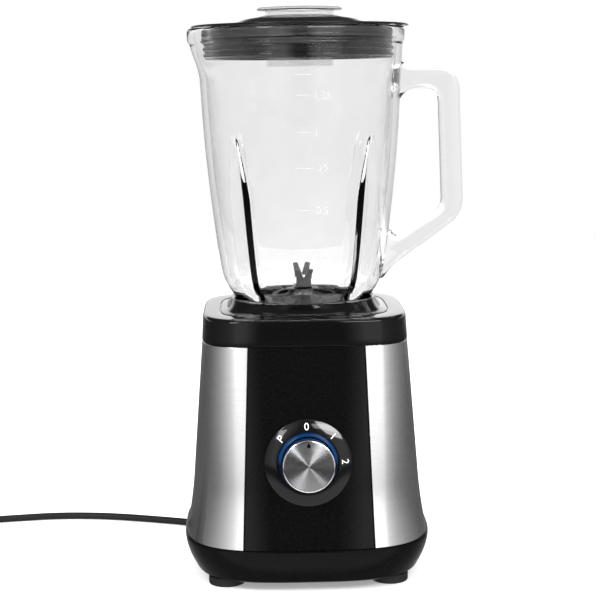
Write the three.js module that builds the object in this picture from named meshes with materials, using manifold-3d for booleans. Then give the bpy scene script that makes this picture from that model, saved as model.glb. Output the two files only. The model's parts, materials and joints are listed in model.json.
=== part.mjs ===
// Countertop blender. Millimetres, +Z up, table at z = 0, controls towards -Y, jug handle towards +X.
// Sizes are written about the jug's upright axis; the last lines move that axis so that the origin is
// the middle of the footprint of the whole object without its cord.
import * as THREE from "three";
import { mergeVertices } from "three/addons/utils/BufferGeometryUtils.js";
import Module from "manifold-3d";

const wasm = await Module();
wasm.setup();

// ---------------------------------------------------------------- driving dimensions
const GAP = 0.3; // air between pieces that touch
const SHAFT_R = 4;
const BORE_R = SHAFT_R + GAP;

const STEEL_LOW = 29.4; // lower edge of the steel and the panel
const STEEL_TOP = 157.7;
const TOP_HALF = 67; // half-width of the base at STEEL_TOP
const TAPER = 0.08; // half-width gained per millimetre downwards
const FLARE = 2.4; // extra half-width at the lower edge
const FLARE_FROM = 90; // distance below STEEL_TOP where the flare starts
const SHEET = 1.2; // thickness of the steel and of the panel
const HOUSING_WALL = 2.4;
const HOUSING_AIR = 0.8; // air behind the steel, the panel and the tray wall
const SEAM = 0.35; // half the joint between the steel and the panel
const PANEL_TOP_HALF = 36.8;
const PANEL_LOW_HALF = 41.6;

const TRAY_LOW = 6;
const TRAY_LIP = 29;
const TRAY_LIP_HALF = 81;
const TRAY_LOW_HALF = 73;
const TRAY_WALL = 2.5;
const TRAY_FLOOR = 9;
const TRAY_POWER = 3.4;

const FOOT_X = 53;
const FOOT_Y = 48;
const FOOT_R = 12;

const RIM_Z = 182; // top of the pedestal that the jug stands in
const WELL_R = 45.2;
const WELL_FLOOR = 146;
const COVER_LOW = 158.1;
const COVER_WALL = 2.8;

const DIAL_Z = 84.7;
const BEZEL_R = 27.7;
const RING_R = 19;
const KNOB_R = 16.4;
const KNOB_FACE = 16.5; // distance of the knob's face from the panel
const KNOB_FACE_R = 14.6;

const GLASS_WALL = 4;
const GLASS_TOP = 358;
const NECK_R = 36.8;
const NECK_BORE = 32.6;
const NECK_LOW = 169.6;
// Outside of the jug from its foot to its rim: radius, height.
const JUG_SIDE = [
  [43.4, 179.6],
  [49.9, 190],
  [53.9, 201.5],
  [58.9, 238],
  [63.3, 282],
  [65.7, 322],
  [67, 347],
];
const JUG_SIDES = 32;
const RIB_TOP = 291;
const RIB_DEPTH = 3.5;
const SPOUT = 5.4;
const SPOUT_HALF_ANGLE = 27;
const SPOUT_FROM = 325;
const HANDLE_REACH = 106.4;
const HANDLE_WIDTH = 15;

const LID_R = 71;
const LID_TOP = 359.6;
const SKIRT_R = 58.7;
const SKIRT_LOW = 337.7;
const CAP_R = 27.7;
const CAP_TOP = 370.7;
const CAP_WALL_R = 23.3;
const CAP_LOW = 333;
const CAP_WALL = 1.8;

const BLADE_WIDTH = 10;
const BLADE_THICK = 1.4;
const UPPER_ANGLE = 91; // direction of the raised arms, degrees from +X
const LOWER_ANGLE = 8;
const NOTCH_DEPTH = 5; // of the V cut into each raised tip
const NOTCH_R = 4; // the notch is cut by a three-sided wedge of this radius
const NUT_R = 7; // corners of the hexagon nut

const PLUNGER_RING = 42;
const PLUNGER_ANGLE = 150;

const STACK_LOW = 66;
const STACK_TOP = 102;
const STATOR_HALF = 42;
const ROTOR_R = 21;

const CORD_R = 2.5;
const CORD_X = -5;
const CORD_EXIT_Z = 18;
const RELIEF_END = 104;
const RELIEF_BORE = 3.1;
const COIL_AT = [-263, 70];
const COIL_R = 29;
// Centreline of the cord from inside the base, down to the table and away to the left.
const CORD_ROUTE = [
  [CORD_X, 68, CORD_EXIT_Z],
  [CORD_X, 84, CORD_EXIT_Z],
  [CORD_X, 98, CORD_EXIT_Z],
  [-6, 110, 16.8],
  [-12, 122, 13.2],
  [-24, 129, 9],
  [-37, 127, 5.6],
  [-46, 118, 3.6],
  [-54, 105, 2.7],
  [-61, 94, 2.6],
  [-70, 86.8, 2.6],
  [-81, 86, 2.6],
  [-92, 89.8, 2.6],
  [-103, 93.9, 2.6],
  [-114, 97.8, 2.6],
  [-135, 104.5, 2.6],
  [-160, 109.5, 2.6],
  [-186, 110.5, 2.6],
  [-212, 107, 2.6],
  [-240.6, 102.4, 2.6],
];

// ---------------------------------------------------------------- shaping helpers
const TAU = Math.PI * 2;
const radians = (degrees) => (degrees * Math.PI) / 180;
const mix = (a, b, t) => a + (b - a) * t;

// Triangles without shared corners or slivers of no area, turned to face out.
function faceOut(geometry) {
  const flat = geometry.index ? geometry.toNonIndexed() : geometry;
  const position = flat.getAttribute("position");
  const corner = (i) => new THREE.Vector3().fromBufferAttribute(position, i);
  const kept = [];
  let volume = 0;
  for (let i = 0; i < position.count; i += 3) {
    const [a, b, c] = [corner(i), corner(i + 1), corner(i + 2)];
    if (Math.min(a.distanceTo(b), b.distanceTo(c), c.distanceTo(a)) < 1e-4) continue;
    volume += a.dot(b.clone().cross(c));
    kept.push([a, b, c]);
  }
  const ordered = kept.map(([a, b, c]) => (volume < 0 ? [a, c, b] : [a, b, c]));
  return new THREE.BufferGeometry().setFromPoints(ordered.flat());
}

function toManifold(geometry) {
  const merged = mergeVertices(faceOut(geometry), 1e-4);
  const mesh = new wasm.Mesh({
    numProp: 3,
    vertProperties: new Float32Array(merged.getAttribute("position").array),
    triVerts: new Uint32Array(merged.index.array),
  });
  return new wasm.Manifold(mesh);
}

function fromManifold(solid) {
  const mesh = solid.getMesh();
  const position = new THREE.BufferAttribute(new Float32Array(mesh.vertProperties), 3);
  const index = new THREE.BufferAttribute(new Uint32Array(mesh.triVerts), 1);
  return new THREE.BufferGeometry().setAttribute("position", position).setIndex(index);
}

const cut = (body, ...tools) =>
  fromManifold(tools.reduce((left, tool) => left.subtract(toManifold(tool)), toManifold(body)));
const join = (body, ...more) =>
  fromManifold(more.reduce((sum, piece) => sum.add(toManifold(piece)), toManifold(body)));

// Body of revolution about Z from a profile of [radius, height].
function lathe(profile, sides = 16) {
  const points = profile.map(([r, z]) => new THREE.Vector2(r, z));
  return new THREE.LatheGeometry(points, sides).rotateX(Math.PI / 2);
}
const loopLathe = (profile, sides) => lathe([...profile, profile[0]], sides);
const rod = (radius, low, high, sides = 16) =>
  lathe(
    [
      [0, low],
      [radius, low],
      [radius, high],
      [0, high],
    ],
    sides,
  );
const tube = (bore, radius, low, high, sides = 16) =>
  loopLathe(
    [
      [bore, low],
      [radius, low],
      [radius, high],
      [bore, high],
    ],
    sides,
  );
const box = (x0, x1, y0, y1, z0, z1) =>
  new THREE.BoxGeometry(x1 - x0, y1 - y0, z1 - z0).translate((x0 + x1) / 2, (y0 + y1) / 2, (z0 + z1) / 2);

// Radius by polar angle of a square with crowned sides and soft corners; power 2 is a circle.
const crowned = (half, power) => (t) =>
  half / (Math.abs(Math.cos(t)) ** power + Math.abs(Math.sin(t)) ** power) ** (1 / power);
const star = (offset) => (t) => 10.2 + offset + 1.8 * THREE.MathUtils.clamp(2.5 * Math.cos(6 * t), -1, 1);

function ring(z, radius, count) {
  const at = typeof radius === "function" ? radius : () => radius;
  return Array.from({ length: count }, (_, i) => {
    const t = (TAU * i) / count;
    return [at(t) * Math.cos(t), at(t) * Math.sin(t), z];
  });
}

// Triangles that close the end of a loft.
function capFaces(level) {
  const points = level.map((p) => new THREE.Vector3(...p));
  const normal = new THREE.Vector3();
  points.forEach((p, i) => normal.add(p.clone().cross(points[(i + 1) % points.length])));
  const [u, v] = [
    ["y", "z"],
    ["z", "x"],
    ["x", "y"],
  ][normal.toArray().map(Math.abs).reduce((best, size, i, all) => (size > all[best] ? i : best), 0)];
  const flat = points.map((p) => new THREE.Vector2(p[u], p[v]));
  const turn = Math.sign(THREE.ShapeUtils.area(flat));
  return THREE.ShapeUtils.triangulateShape(flat, []).map(([a, b, c]) => {
    const area = THREE.ShapeUtils.area([flat[a], flat[b], flat[c]]);
    return Math.sign(area) === turn ? [a, b, c] : [a, c, b];
  });
}

// Skin over levels of equal point count: closed by caps, or by joining the last level to the first.
function loft(levels, joined = false) {
  const count = levels[0].length;
  const out = [];
  const quads = joined ? levels.length : levels.length - 1;
  for (let k = 0; k < quads; k += 1) {
    const low = levels[k];
    const high = levels[(k + 1) % levels.length];
    for (let i = 0; i < count; i += 1) {
      const j = (i + 1) % count;
      out.push(low[i], low[j], high[j], low[i], high[j], high[i]);
    }
  }
  if (!joined) {
    const last = levels[levels.length - 1];
    capFaces(levels[0]).forEach(([a, b, c]) => out.push(levels[0][a], levels[0][c], levels[0][b]));
    capFaces(last).forEach(([a, b, c]) => out.push(last[a], last[b], last[c]));
  }
  return new THREE.BufferGeometry().setFromPoints(out.map((p) => new THREE.Vector3(...p)));
}

const group = new THREE.Group();
const LOOKS = {
  glass: { color: 0xdfe9ea, roughness: 0.05, metalness: 0 },
  black: { color: 0x0b0b0c, roughness: 0.12, metalness: 0 },
  darkMatte: { color: 0x1b1b1d, roughness: 0.6, metalness: 0 },
  rubber: { color: 0x141414, roughness: 0.85, metalness: 0 },
  steel: { color: 0xb9bcc0, roughness: 0.28, metalness: 1 },
  polished: { color: 0xd5d7da, roughness: 0.12, metalness: 1 },
  grey: { color: 0x77797c, roughness: 0.5, metalness: 0 },
  lit: { color: 0x2a78ff, roughness: 0.3, metalness: 0 },
  copper: { color: 0xb06a3a, roughness: 0.4, metalness: 1 },
  iron: { color: 0x5d5f63, roughness: 0.5, metalness: 1 },
  board: { color: 0x1f5a38, roughness: 0.5, metalness: 0 },
  carbon: { color: 0x2b2b2d, roughness: 0.7, metalness: 0 },
};
function add(name, geometry, look) {
  const mesh = new THREE.Mesh(faceOut(geometry), new THREE.MeshStandardMaterial(LOOKS[look]));
  mesh.name = name;
  group.add(mesh);
}

// ---------------------------------------------------------------- outlines of the base
function bodyHalf(z) {
  const down = STEEL_TOP - z;
  const bend = Math.max(0, (down - FLARE_FROM) / (STEEL_TOP - STEEL_LOW - FLARE_FROM));
  return TOP_HALF + TAPER * down + FLARE * bend ** 2;
}
const upSteel = (z) => THREE.MathUtils.clamp((z - STEEL_LOW) / (STEEL_TOP - STEEL_LOW), 0, 1);
const bodyPower = (z) => mix(3.4, 4.6, upSteel(z));
const panelHalf = (z) => mix(PANEL_LOW_HALF, PANEL_TOP_HALF, (z - STEEL_LOW) / (STEEL_TOP - STEEL_LOW));
function trayHalf(z) {
  const up = THREE.MathUtils.clamp((z - TRAY_LOW) / (TRAY_LIP - TRAY_LOW), 0, 1);
  return mix(TRAY_LOW_HALF, TRAY_LIP_HALF, Math.sin((up * Math.PI) / 2));
}

// Points of the crowned outline between two polar angles.
function arc(z, half, from, to, count) {
  const radius = crowned(half, bodyPower(z));
  return Array.from({ length: count }, (_, i) => {
    const t = mix(from, to, i / (count - 1));
    return [radius(t) * Math.cos(t), radius(t) * Math.sin(t), z];
  });
}
// Polar angle past the front, at which the outline has the sideways distance x.
function frontAngle(z, half, x) {
  const power = bodyPower(z);
  return Math.atan2(x, half * (1 - (x / half) ** power) ** (1 / power));
}
const SKIN_LEVELS = [STEEL_LOW, 35, 44, 62, 108, STEEL_TOP];

function skinLevel(z, x, front, count) {
  const level = [bodyHalf(z), bodyHalf(z) - SHEET].map((half, i) => {
    const a = frontAngle(z, half, x);
    const side = front
      ? arc(z, half, -Math.PI / 2 - a, -Math.PI / 2 + a, count)
      : arc(z, half, -Math.PI / 2 + a, 1.5 * Math.PI - a, count);
    return i ? side.reverse() : side;
  });
  return level.flat();
}

// ---------------------------------------------------------------- dial frame: local +Z leaves the panel
const LEAN = Math.atan(TAPER);
const onDial = (geometry) => geometry.rotateX(Math.PI / 2 - LEAN).translate(0, -bodyHalf(DIAL_Z), DIAL_Z);

// ---------------------------------------------------------------- base
function baseShell() {
  add("steel_wrap", loft(SKIN_LEVELS.map((z) => skinLevel(z, panelHalf(z) + SEAM, false, 28))), "steel");

  const panel = loft(SKIN_LEVELS.map((z) => skinLevel(z, panelHalf(z) - SEAM, true, 7)));
  add("front_panel", cut(panel, onDial(rod(26, -9, 9, 32))), "black");

  const half = (z) => Math.min(bodyHalf(z) - SHEET - HOUSING_AIR, trayHalf(z) - TRAY_WALL - HOUSING_AIR);
  const top = STEEL_TOP - 0.4;
  const level = (z, inset) => ring(z, crowned(half(z) - inset, bodyPower(z)), 28);
  const outer = [TRAY_FLOOR + GAP, 16, 22, ...SKIN_LEVELS.slice(0, -1), top].map((z) => level(z, 0));
  const inner = [top, 62, STEEL_LOW, 16, TRAY_FLOOR + GAP].map((z) => level(z, HOUSING_WALL));
  const cordHole = rod(9, 60, 90).rotateX(-Math.PI / 2).translate(CORD_X, 0, CORD_EXIT_Z);
  const dialHole = onDial(rod(21, -12, 9, 24));
  add("inner_housing", cut(loft([...outer, ...inner], true), cordHole, dialHole), "darkMatte");
}

function tray() {
  const level = (z, half) => ring(z, crowned(half, TRAY_POWER), 28);
  const outside = [10, 16, 22, TRAY_LIP].map((z) => level(z, trayHalf(z)));
  const inside = [TRAY_LIP, 22, 16, TRAY_FLOOR].map((z) => level(z, trayHalf(z) - TRAY_WALL));
  const shell = loft([level(TRAY_LOW, TRAY_LOW_HALF - 1), ...outside, ...inside]);
  const cordHole = rod(6, 60, 90).rotateX(-Math.PI / 2).translate(CORD_X, 0, CORD_EXIT_Z);
  const vents = [-24, -12, 0, 12, 24].map((x) => box(x - 2.5, x + 2.5, -20, 20, TRAY_LOW - 1, TRAY_FLOOR + 1));
  const screwHoles = corners().map(([x, y]) => rod(2.4, TRAY_LOW - 1, TRAY_FLOOR + 1, 8).translate(x, y, 0));
  add("bottom_tray", cut(shell, cordHole, ...vents, ...screwHoles), "darkMatte");
}

function corners() {
  return [
    [-FOOT_X, -FOOT_Y],
    [FOOT_X, -FOOT_Y],
    [FOOT_X, FOOT_Y],
    [-FOOT_X, FOOT_Y],
  ];
}

function feet() {
  const names = ["front_left", "front_right", "back_right", "back_left"];
  const top = TRAY_LOW - GAP;
  corners().forEach(([x, y], i) => {
    const foot = loopLathe(
      [
        [5, 0],
        [FOOT_R - 1.5, 0],
        [FOOT_R, 1.5],
        [FOOT_R, top],
        [2.4, top],
        [2.4, 3.2],
        [5, 3.2],
      ],
      12,
    );
    const screw = lathe(
      [
        [0, 0.8],
        [4.2, 0.8],
        [4.2, 2.9],
        [2, 2.9],
        [2, 13],
        [0, 13],
      ],
      8,
    );
    add(`foot_${names[i]}`, foot.translate(x, y, 0), "rubber");
    add(`foot_screw_${names[i]}`, screw.translate(x, y, 0), "polished");
  });
}

function topCover() {
  const count = 28;
  const level = (z, half, power) => ring(z, crowned(half, power), count);
  const side = bodyHalf(COVER_LOW) + 0.1;
  const under = WELL_FLOOR - COVER_WALL;
  const wellOut = WELL_R + COVER_WALL;
  const cover = loft(
    [
      level(COVER_LOW, side, 4.6),
      level(170.5, side - 1, 4.6),
      level(173.4, side - 2.4, 4.5),
      level(174.6, side - 6, 4.4),
      // concave sweep from the deck up to the rim of the well
      level(175.6, 55.5, 3.8),
      level(178.2, 52.2, 3.7),
      level(180.9, 49.6, 3.6),
      level(RIM_Z, 48.2, 3.5),
      level(RIM_Z, WELL_R + 1.6, 2),
      level(RIM_Z - 1.4, WELL_R + 0.4, 2),
      level(WELL_FLOOR, WELL_R, 2),
      level(WELL_FLOOR, 8.5, 2),
      level(under, 8.5, 2),
      level(under, wellOut, 2),
      level(170.6, wellOut + 0.6, 2),
      level(171.4, 58, 4),
      level(168.5, side - 3.4, 4.5),
      level(COVER_LOW, side - COVER_WALL, 4.6),
    ],
    true,
  );
  const hole = rod(2.2, under - 1, WELL_FLOOR + 1, 12).translate(...plungerAt());
  add("top_cover", cut(cover, hole), "black");
}

function plungerAt() {
  const t = radians(PLUNGER_ANGLE);
  return [PLUNGER_RING * Math.cos(t), PLUNGER_RING * Math.sin(t), 0];
}

function interlock() {
  const plunger = lathe(
    [
      [0, 139],
      [3.2, 139],
      [3.2, 140.2],
      [1.8, 140.2],
      [1.8, WELL_FLOOR + 0.7],
      [0, WELL_FLOOR + 0.7],
    ],
    12,
  );
  add("interlock_plunger", plunger.translate(...plungerAt()), "grey");
  const [x, y] = plungerAt();
  add("interlock_switch", box(x - 7, x + 7, y - 4, y + 4, 127, 138.7), "darkMatte");
}

// ---------------------------------------------------------------- controls
function controls() {
  const bezel = loopLathe(
    [
      [22.5, -1.3],
      [25.6, -1.3],
      [25.6, GAP],
      [BEZEL_R, GAP],
      [BEZEL_R, 2.6],
      [BEZEL_R - 0.8, 3.4],
      [BEZEL_R - 2, 3.2],
      [RING_R + GAP, 1.5],
      [RING_R + GAP, -0.5],
      [22.5, -0.5],
    ],
    28,
  );
  add("dial_bezel", onDial(bezel), "black");
  add("light_ring", onDial(tube(17.6, RING_R, -3.4, 1.8, 24)), "lit");
  add("led_board", onDial(tube(3.6, 20.5, -5.2, -3.8, 20)), "board");

  const knob = lathe(
    [
      [0, 12],
      [3.3, 12],
      [3.3, 2.2],
      [KNOB_R, 2.2],
      [KNOB_R, KNOB_FACE - 1.6],
      [KNOB_R - 1.2, KNOB_FACE - 0.4],
      [KNOB_FACE_R + GAP, KNOB_FACE - 0.4],
      [KNOB_FACE_R + GAP, KNOB_FACE - 1.6],
      [0, KNOB_FACE - 1.6],
    ],
    28,
  );
  add("knob", onDial(knob), "polished");
  const face = lathe(
    [
      [0, KNOB_FACE - 1.3],
      [KNOB_FACE_R, KNOB_FACE - 1.3],
      [KNOB_FACE_R, KNOB_FACE],
      [0, KNOB_FACE],
    ],
    24,
  );
  const dimple = rod(1.2, KNOB_FACE - 0.6, KNOB_FACE + 1, 12).translate(0, 11, 0);
  add("knob_cap", onDial(cut(face, dimple)), "steel");
  add("switch_shaft", onDial(rod(3, -7.6, 11.6, 12)), "polished");
  add("rotary_switch", onDial(box(-11, 11, -11, 11, -22, -8)), "grey");
}

// ---------------------------------------------------------------- motor and drive
function motor() {
  // Bore of the stack: two pole faces at the front and the back, two winding slots at the sides.
  const poles = (t) => (Math.abs(Math.cos(t)) > Math.cos(radians(38)) ? 34.4 : ROTOR_R + 0.8);
  const stack = [
    ring(STACK_LOW, crowned(STATOR_HALF, 6), 40),
    ring(STACK_TOP, crowned(STATOR_HALF, 6), 40),
    ring(STACK_TOP, poles, 40),
    ring(STACK_LOW, poles, 40),
  ];
  add("motor_stator", loft(stack, true), "iron");

  for (const [name, side] of [
    ["field_coil_front", -1],
    ["field_coil_back", 1],
  ]) {
    const arch = [
      [26, 9, STACK_LOW + 2],
      [26, 9, STACK_TOP - 2],
      [21, 19, STACK_TOP + 7],
      [0, 27, STACK_TOP + 9],
      [-21, 19, STACK_TOP + 7],
      [-26, 9, STACK_TOP - 2],
      [-26, 9, STACK_LOW + 2],
      [-21, 19, STACK_LOW - 7],
      [0, 27, STACK_LOW - 9],
      [21, 19, STACK_LOW - 7],
    ].map(([x, y, z]) => new THREE.Vector3(x, side * y, z));
    const path = new THREE.CatmullRomCurve3(arch, true, "centripetal");
    add(name, new THREE.TubeGeometry(path, 22, 3, 5, true), "copper");
  }

  add("armature_core", tube(BORE_R, ROTOR_R, STACK_LOW, STACK_TOP, 20), "iron");
  add("winding_top", tube(6, 17, STACK_TOP + GAP, STACK_TOP + 9, 16), "copper");
  add("winding_bottom", tube(6, 17, STACK_LOW - 9, STACK_LOW - GAP, 16), "copper");
  add("commutator", tube(BORE_R, 11.5, 43, 55, 16), "copper");
  add("motor_shaft", rod(SHAFT_R, 13, 154, 16), "steel");

  const bracket = (low) =>
    loopLathe(
      [
        [11.3, low],
        [15, low],
        [15, low + 3],
        [46, low + 3],
        [46, low + 6],
        [15, low + 6],
        [15, low + 9],
        [11.3, low + 9],
      ],
      16,
    );
  add("lower_bracket", bracket(28), "grey");
  add("lower_bearing", tube(BORE_R, 11, 29, 36), "polished");
  add("upper_bracket", bracket(114), "grey");
  add("upper_bearing", tube(BORE_R, 11, 115, 122), "polished");

  const vanes = Array.from({ length: 8 }, (_, i) =>
    box(7, 32, -0.8, 0.8, 15, 24).rotateZ((TAU * i) / 8 + radians(10)),
  );
  const hub = loopLathe(
    [
      [BORE_R, 14],
      [9, 14],
      [9, 23.5],
      [34, 23.5],
      [34, 25.2],
      [BORE_R, 25.2],
    ],
    16,
  );
  add("cooling_fan", join(hub, ...vanes), "darkMatte");

  for (const [name, side] of [
    ["left", -1],
    ["right", 1],
  ]) {
    const slot = box(10, 40, -3.3, 3.3, 45.7, 52.3);
    const holder = cut(box(15, 36, -5.2, 5.2, 43.8, 54.2), slot);
    add(`brush_holder_${name}`, holder.scale(side, 1, 1), "grey");
    add(`carbon_brush_${name}`, box(12, 27, -3, 3, 46, 52).scale(side, 1, 1), "carbon");
  }
  add("shaft_slinger", tube(BORE_R, 7.5, 136, 139), "rubber");

  const drive = [
    ring(147, 15, 36),
    ring(150.5, 15, 36),
    ring(150.5, star(0), 36),
    ring(156.5, star(0), 36),
    ring(156.5, BORE_R, 36),
    ring(147, BORE_R, 36),
  ];
  add("drive_coupling", loft(drive, true), "rubber");
}

// ---------------------------------------------------------------- jug
function spoutReach(t, z) {
  const off = Math.abs(((t + TAU) % TAU) - Math.PI) / radians(SPOUT_HALF_ANGLE);
  if (off >= 1) return 0;
  const rise = THREE.MathUtils.smoothstep(z, SPOUT_FROM, 352);
  return SPOUT * rise * Math.cos((off * Math.PI) / 2) ** 2;
}
function ribReach(t, z) {
  const quarter = TAU / 4;
  const off = Math.abs((((t % quarter) + quarter) % quarter) - quarter / 2) / radians(9);
  const fade = THREE.MathUtils.smoothstep(RIB_TOP - z, 0, 8);
  return off >= 1 ? 0 : RIB_DEPTH * (1 - off) * fade;
}
const jugSide = () =>
  new THREE.SplineCurve(JUG_SIDE.map(([r, z]) => new THREE.Vector2(r, z))).getPoints(10).map((p) => [p.x, p.y]);

function jug() {
  const outside = ([r, z]) => ring(z, (t) => r + spoutReach(t, z), JUG_SIDES);
  const inside = ([r, z]) => ring(z, (t) => r + spoutReach(t, z) - ribReach(t, z), JUG_SIDES);
  const side = jugSide();
  const inner = side
    .filter(([, z]) => z > 192)
    .map(([r, z]) => [r - GLASS_WALL, z])
    .reverse();
  const levels = [
    ...[[NECK_R, NECK_LOW], [NECK_R, 178.2], [41.6, 178.5], ...side].map(outside),
    ...[
      [68.3, 350],
      [68.4, 355],
      [67.2, GLASS_TOP],
      [64.6, GLASS_TOP],
      [63.4, 352],
    ].map(outside),
    ...inner.map(inside),
    ...[
      [44.5, 188.6],
      [38.6, 182.6],
    ].map(inside),
    ring(179, NECK_BORE, JUG_SIDES),
    ring(NECK_LOW, NECK_BORE, JUG_SIDES),
  ];
  add("glass_jug", loft(levels, true), "glass");

  // The handle: one closed loop of glass seen from the front, its two ends lying against the jug.
  const loop = new THREE.Shape();
  loop.moveTo(58, 336.5);
  loop.lineTo(66, 335.6);
  loop.quadraticCurveTo(70, 332.6, 76, 332.5);
  loop.lineTo(90, 332.3);
  loop.quadraticCurveTo(103.6, 332, 104.2, 318);
  loop.lineTo(HANDLE_REACH, 246);
  loop.quadraticCurveTo(HANDLE_REACH, 235.5, 98, 229);
  loop.lineTo(66, 205.6);
  loop.quadraticCurveTo(57, 199, 53.4, 193);
  loop.lineTo(48, 193);
  loop.lineTo(50, 226);
  loop.lineTo(59, 224.6);
  loop.quadraticCurveTo(61, 219.6, 65, 221.6);
  loop.lineTo(88, 236);
  loop.quadraticCurveTo(92.9, 239.2, 92.7, 246);
  loop.lineTo(90.9, 308);
  loop.quadraticCurveTo(90.6, 317.6, 82, 317.7);
  loop.lineTo(76, 317.8);
  loop.quadraticCurveTo(69, 317.8, 65, 311);
  loop.lineTo(58, 311);
  loop.closePath();
  const bar = new THREE.ExtrudeGeometry(loop, {
    depth: HANDLE_WIDTH - 4,
    bevelThickness: 2,
    bevelSize: 2,
    bevelOffset: -2,
    bevelSegments: 1,
    curveSegments: 4,
  })
    .rotateX(Math.PI / 2)
    .translate(0, HANDLE_WIDTH / 2 - 2, 0);
  const body = lathe([[0, 170], ...jugSide().map(([r, z]) => [r + GAP, z]), [0, 352]], JUG_SIDES);
  add("glass_handle", cut(bar, body), "glass");
}

function jugFoot() {
  const collar = [
    [40.6, 147],
    [44.6, 147],
    [44.6, 176.5],
    [43.6, 177.5],
    [37.6, 177.5],
    [37.6, 164.3],
    [24, 164.3],
    [24, 161],
    [40.6, 161],
  ];
  add("jug_collar", loopLathe(collar, 28), "black");
  add("jug_seal", tube(32.4, 36.8, 167.2, 169.3, 24), "rubber");
  const carrier = [
    [5.4, 162.2],
    [9, 162.2],
    [9, 175.5],
    [27.5, 170.5],
    [27.5, 164.6],
    [37.2, 164.6],
    [37.2, 166.9],
    [31.6, 166.9],
    [31.6, 171],
    [29.5, 173],
    [20, 175],
    [12, 178.5],
    [9.5, 181],
    [8.8, 185.2],
    [5.4, 185.2],
  ];
  add("blade_carrier", loopLathe(carrier, 24), "steel");
  add("blade_bush", tube(BORE_R, 5.1, 163, 184.8), "copper");
  add("blade_shaft", rod(SHAFT_R, 158.6, 193.2), "polished");
  add("blade_washer", tube(BORE_R, 7.6, 185.5, 186.2), "polished");

  const coupling = [
    ring(152.2, 17, 36),
    ring(161.5, 17, 36),
    ring(161.5, BORE_R, 36),
    ring(158, BORE_R, 36),
    ring(158, star(0.5), 36),
    ring(152.2, star(0.5), 36),
  ];
  add("jug_coupling", loft(coupling, true), "darkMatte");
}

// Two-armed blade: stations along its length of distance, height and width, mirrored about the shaft.
function blade(name, stations, angle, notches) {
  const mirrored = [...stations.map(([s, z, w]) => [-s, z, w]).reverse(), ...stations];
  const levels = mirrored.map(([s, z, w]) => [
    [s, -w / 2, z],
    [s, w / 2, z],
    [s, w / 2, z + BLADE_THICK],
    [s, -w / 2, z + BLADE_THICK],
  ]);
  const bar = cut(loft(levels), rod(BORE_R, 150, 220), ...notches);
  add(name, bar.rotateZ(radians(angle)), "polished");
}

function blades() {
  const low = 186.5;
  const high = low + BLADE_THICK + GAP;
  const lower = [
    [9.5, low, BLADE_WIDTH + 3],
    [13, low - 2, BLADE_WIDTH],
    [20, low - 7.6, BLADE_WIDTH - 3],
    [23, low - 9.6, 3],
  ];
  const upper = [
    [8.5, high, BLADE_WIDTH + 2],
    [11, high + 1.8, BLADE_WIDTH],
    [16, high + 7.4, BLADE_WIDTH],
    [19.6, high + 12.4, BLADE_WIDTH + 2],
  ];
  blade("lower_blade", lower, LOWER_ANGLE, []);
  const [tipReach, tipHeight] = upper[upper.length - 1];
  const notch = new THREE.CylinderGeometry(NOTCH_R, NOTCH_R, 30, 3);
  notch.rotateX(Math.PI / 2).rotateZ(Math.PI / 2).translate(tipReach + NOTCH_R - NOTCH_DEPTH, 0, tipHeight);
  const notches = [notch, notch.clone().rotateZ(Math.PI)];
  blade("upper_blade", upper, UPPER_ANGLE, notches);
  const nutLow = high + BLADE_THICK + GAP;
  const nut = loft([
    ring(nutLow, NUT_R, 6),
    ring(nutLow + 3.8, NUT_R, 6),
    ring(nutLow + 5.2, 4.6, 6),
    ring(nutLow + 6, 2, 6),
  ]);
  add("blade_nut", cut(nut, rod(BORE_R, nutLow - 1, nutLow + 3.6)), "polished");
}

// ---------------------------------------------------------------- lid
function lid() {
  const sleeve = CAP_WALL_R + 0.5;
  const profile = [
    [sleeve, 348],
    [sleeve, 367.2],
    [sleeve + 1.4, 367.3],
    [46, 361.2],
    [49, LID_TOP],
    [LID_R, LID_TOP],
    [LID_R, 358.3],
    [61, 358.3],
    [SKIRT_R, 356.8],
    [SKIRT_R, SKIRT_LOW],
    [SKIRT_R - 2.5, SKIRT_LOW],
    [SKIRT_R - 2.5, 357],
    [46.6, 357.2],
    [sleeve + 2.4, 363.2],
    [sleeve + 2.4, 348],
  ];
  add("lid", loopLathe(profile, 32), "black");

  const inside = SKIRT_R + GAP;
  const fins = [339.5, 344.6, 349.7].flatMap((z) => [
    [60, z - 1.6],
    [61.4, z],
    [60, z + 1.2],
  ]);
  const gasket = [[inside, SKIRT_LOW], ...fins, [60, 354.6], [inside, 354.6]];
  add("lid_gasket", loopLathe(gasket, 32), "rubber");

  const cap = [
    [0, CAP_TOP],
    [CAP_R - 0.8, CAP_TOP],
    [CAP_R, CAP_TOP - 1],
    [CAP_R, CAP_TOP - 3],
    [CAP_WALL_R, CAP_TOP - 3],
    [CAP_WALL_R - 1.2, CAP_LOW],
    [CAP_WALL_R - 1.2 - CAP_WALL, CAP_LOW],
    [CAP_WALL_R - CAP_WALL, CAP_TOP - 3],
    [0, CAP_TOP - 3],
  ];
  add("measuring_cap", lathe(cap, 28), "glass");
}

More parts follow.
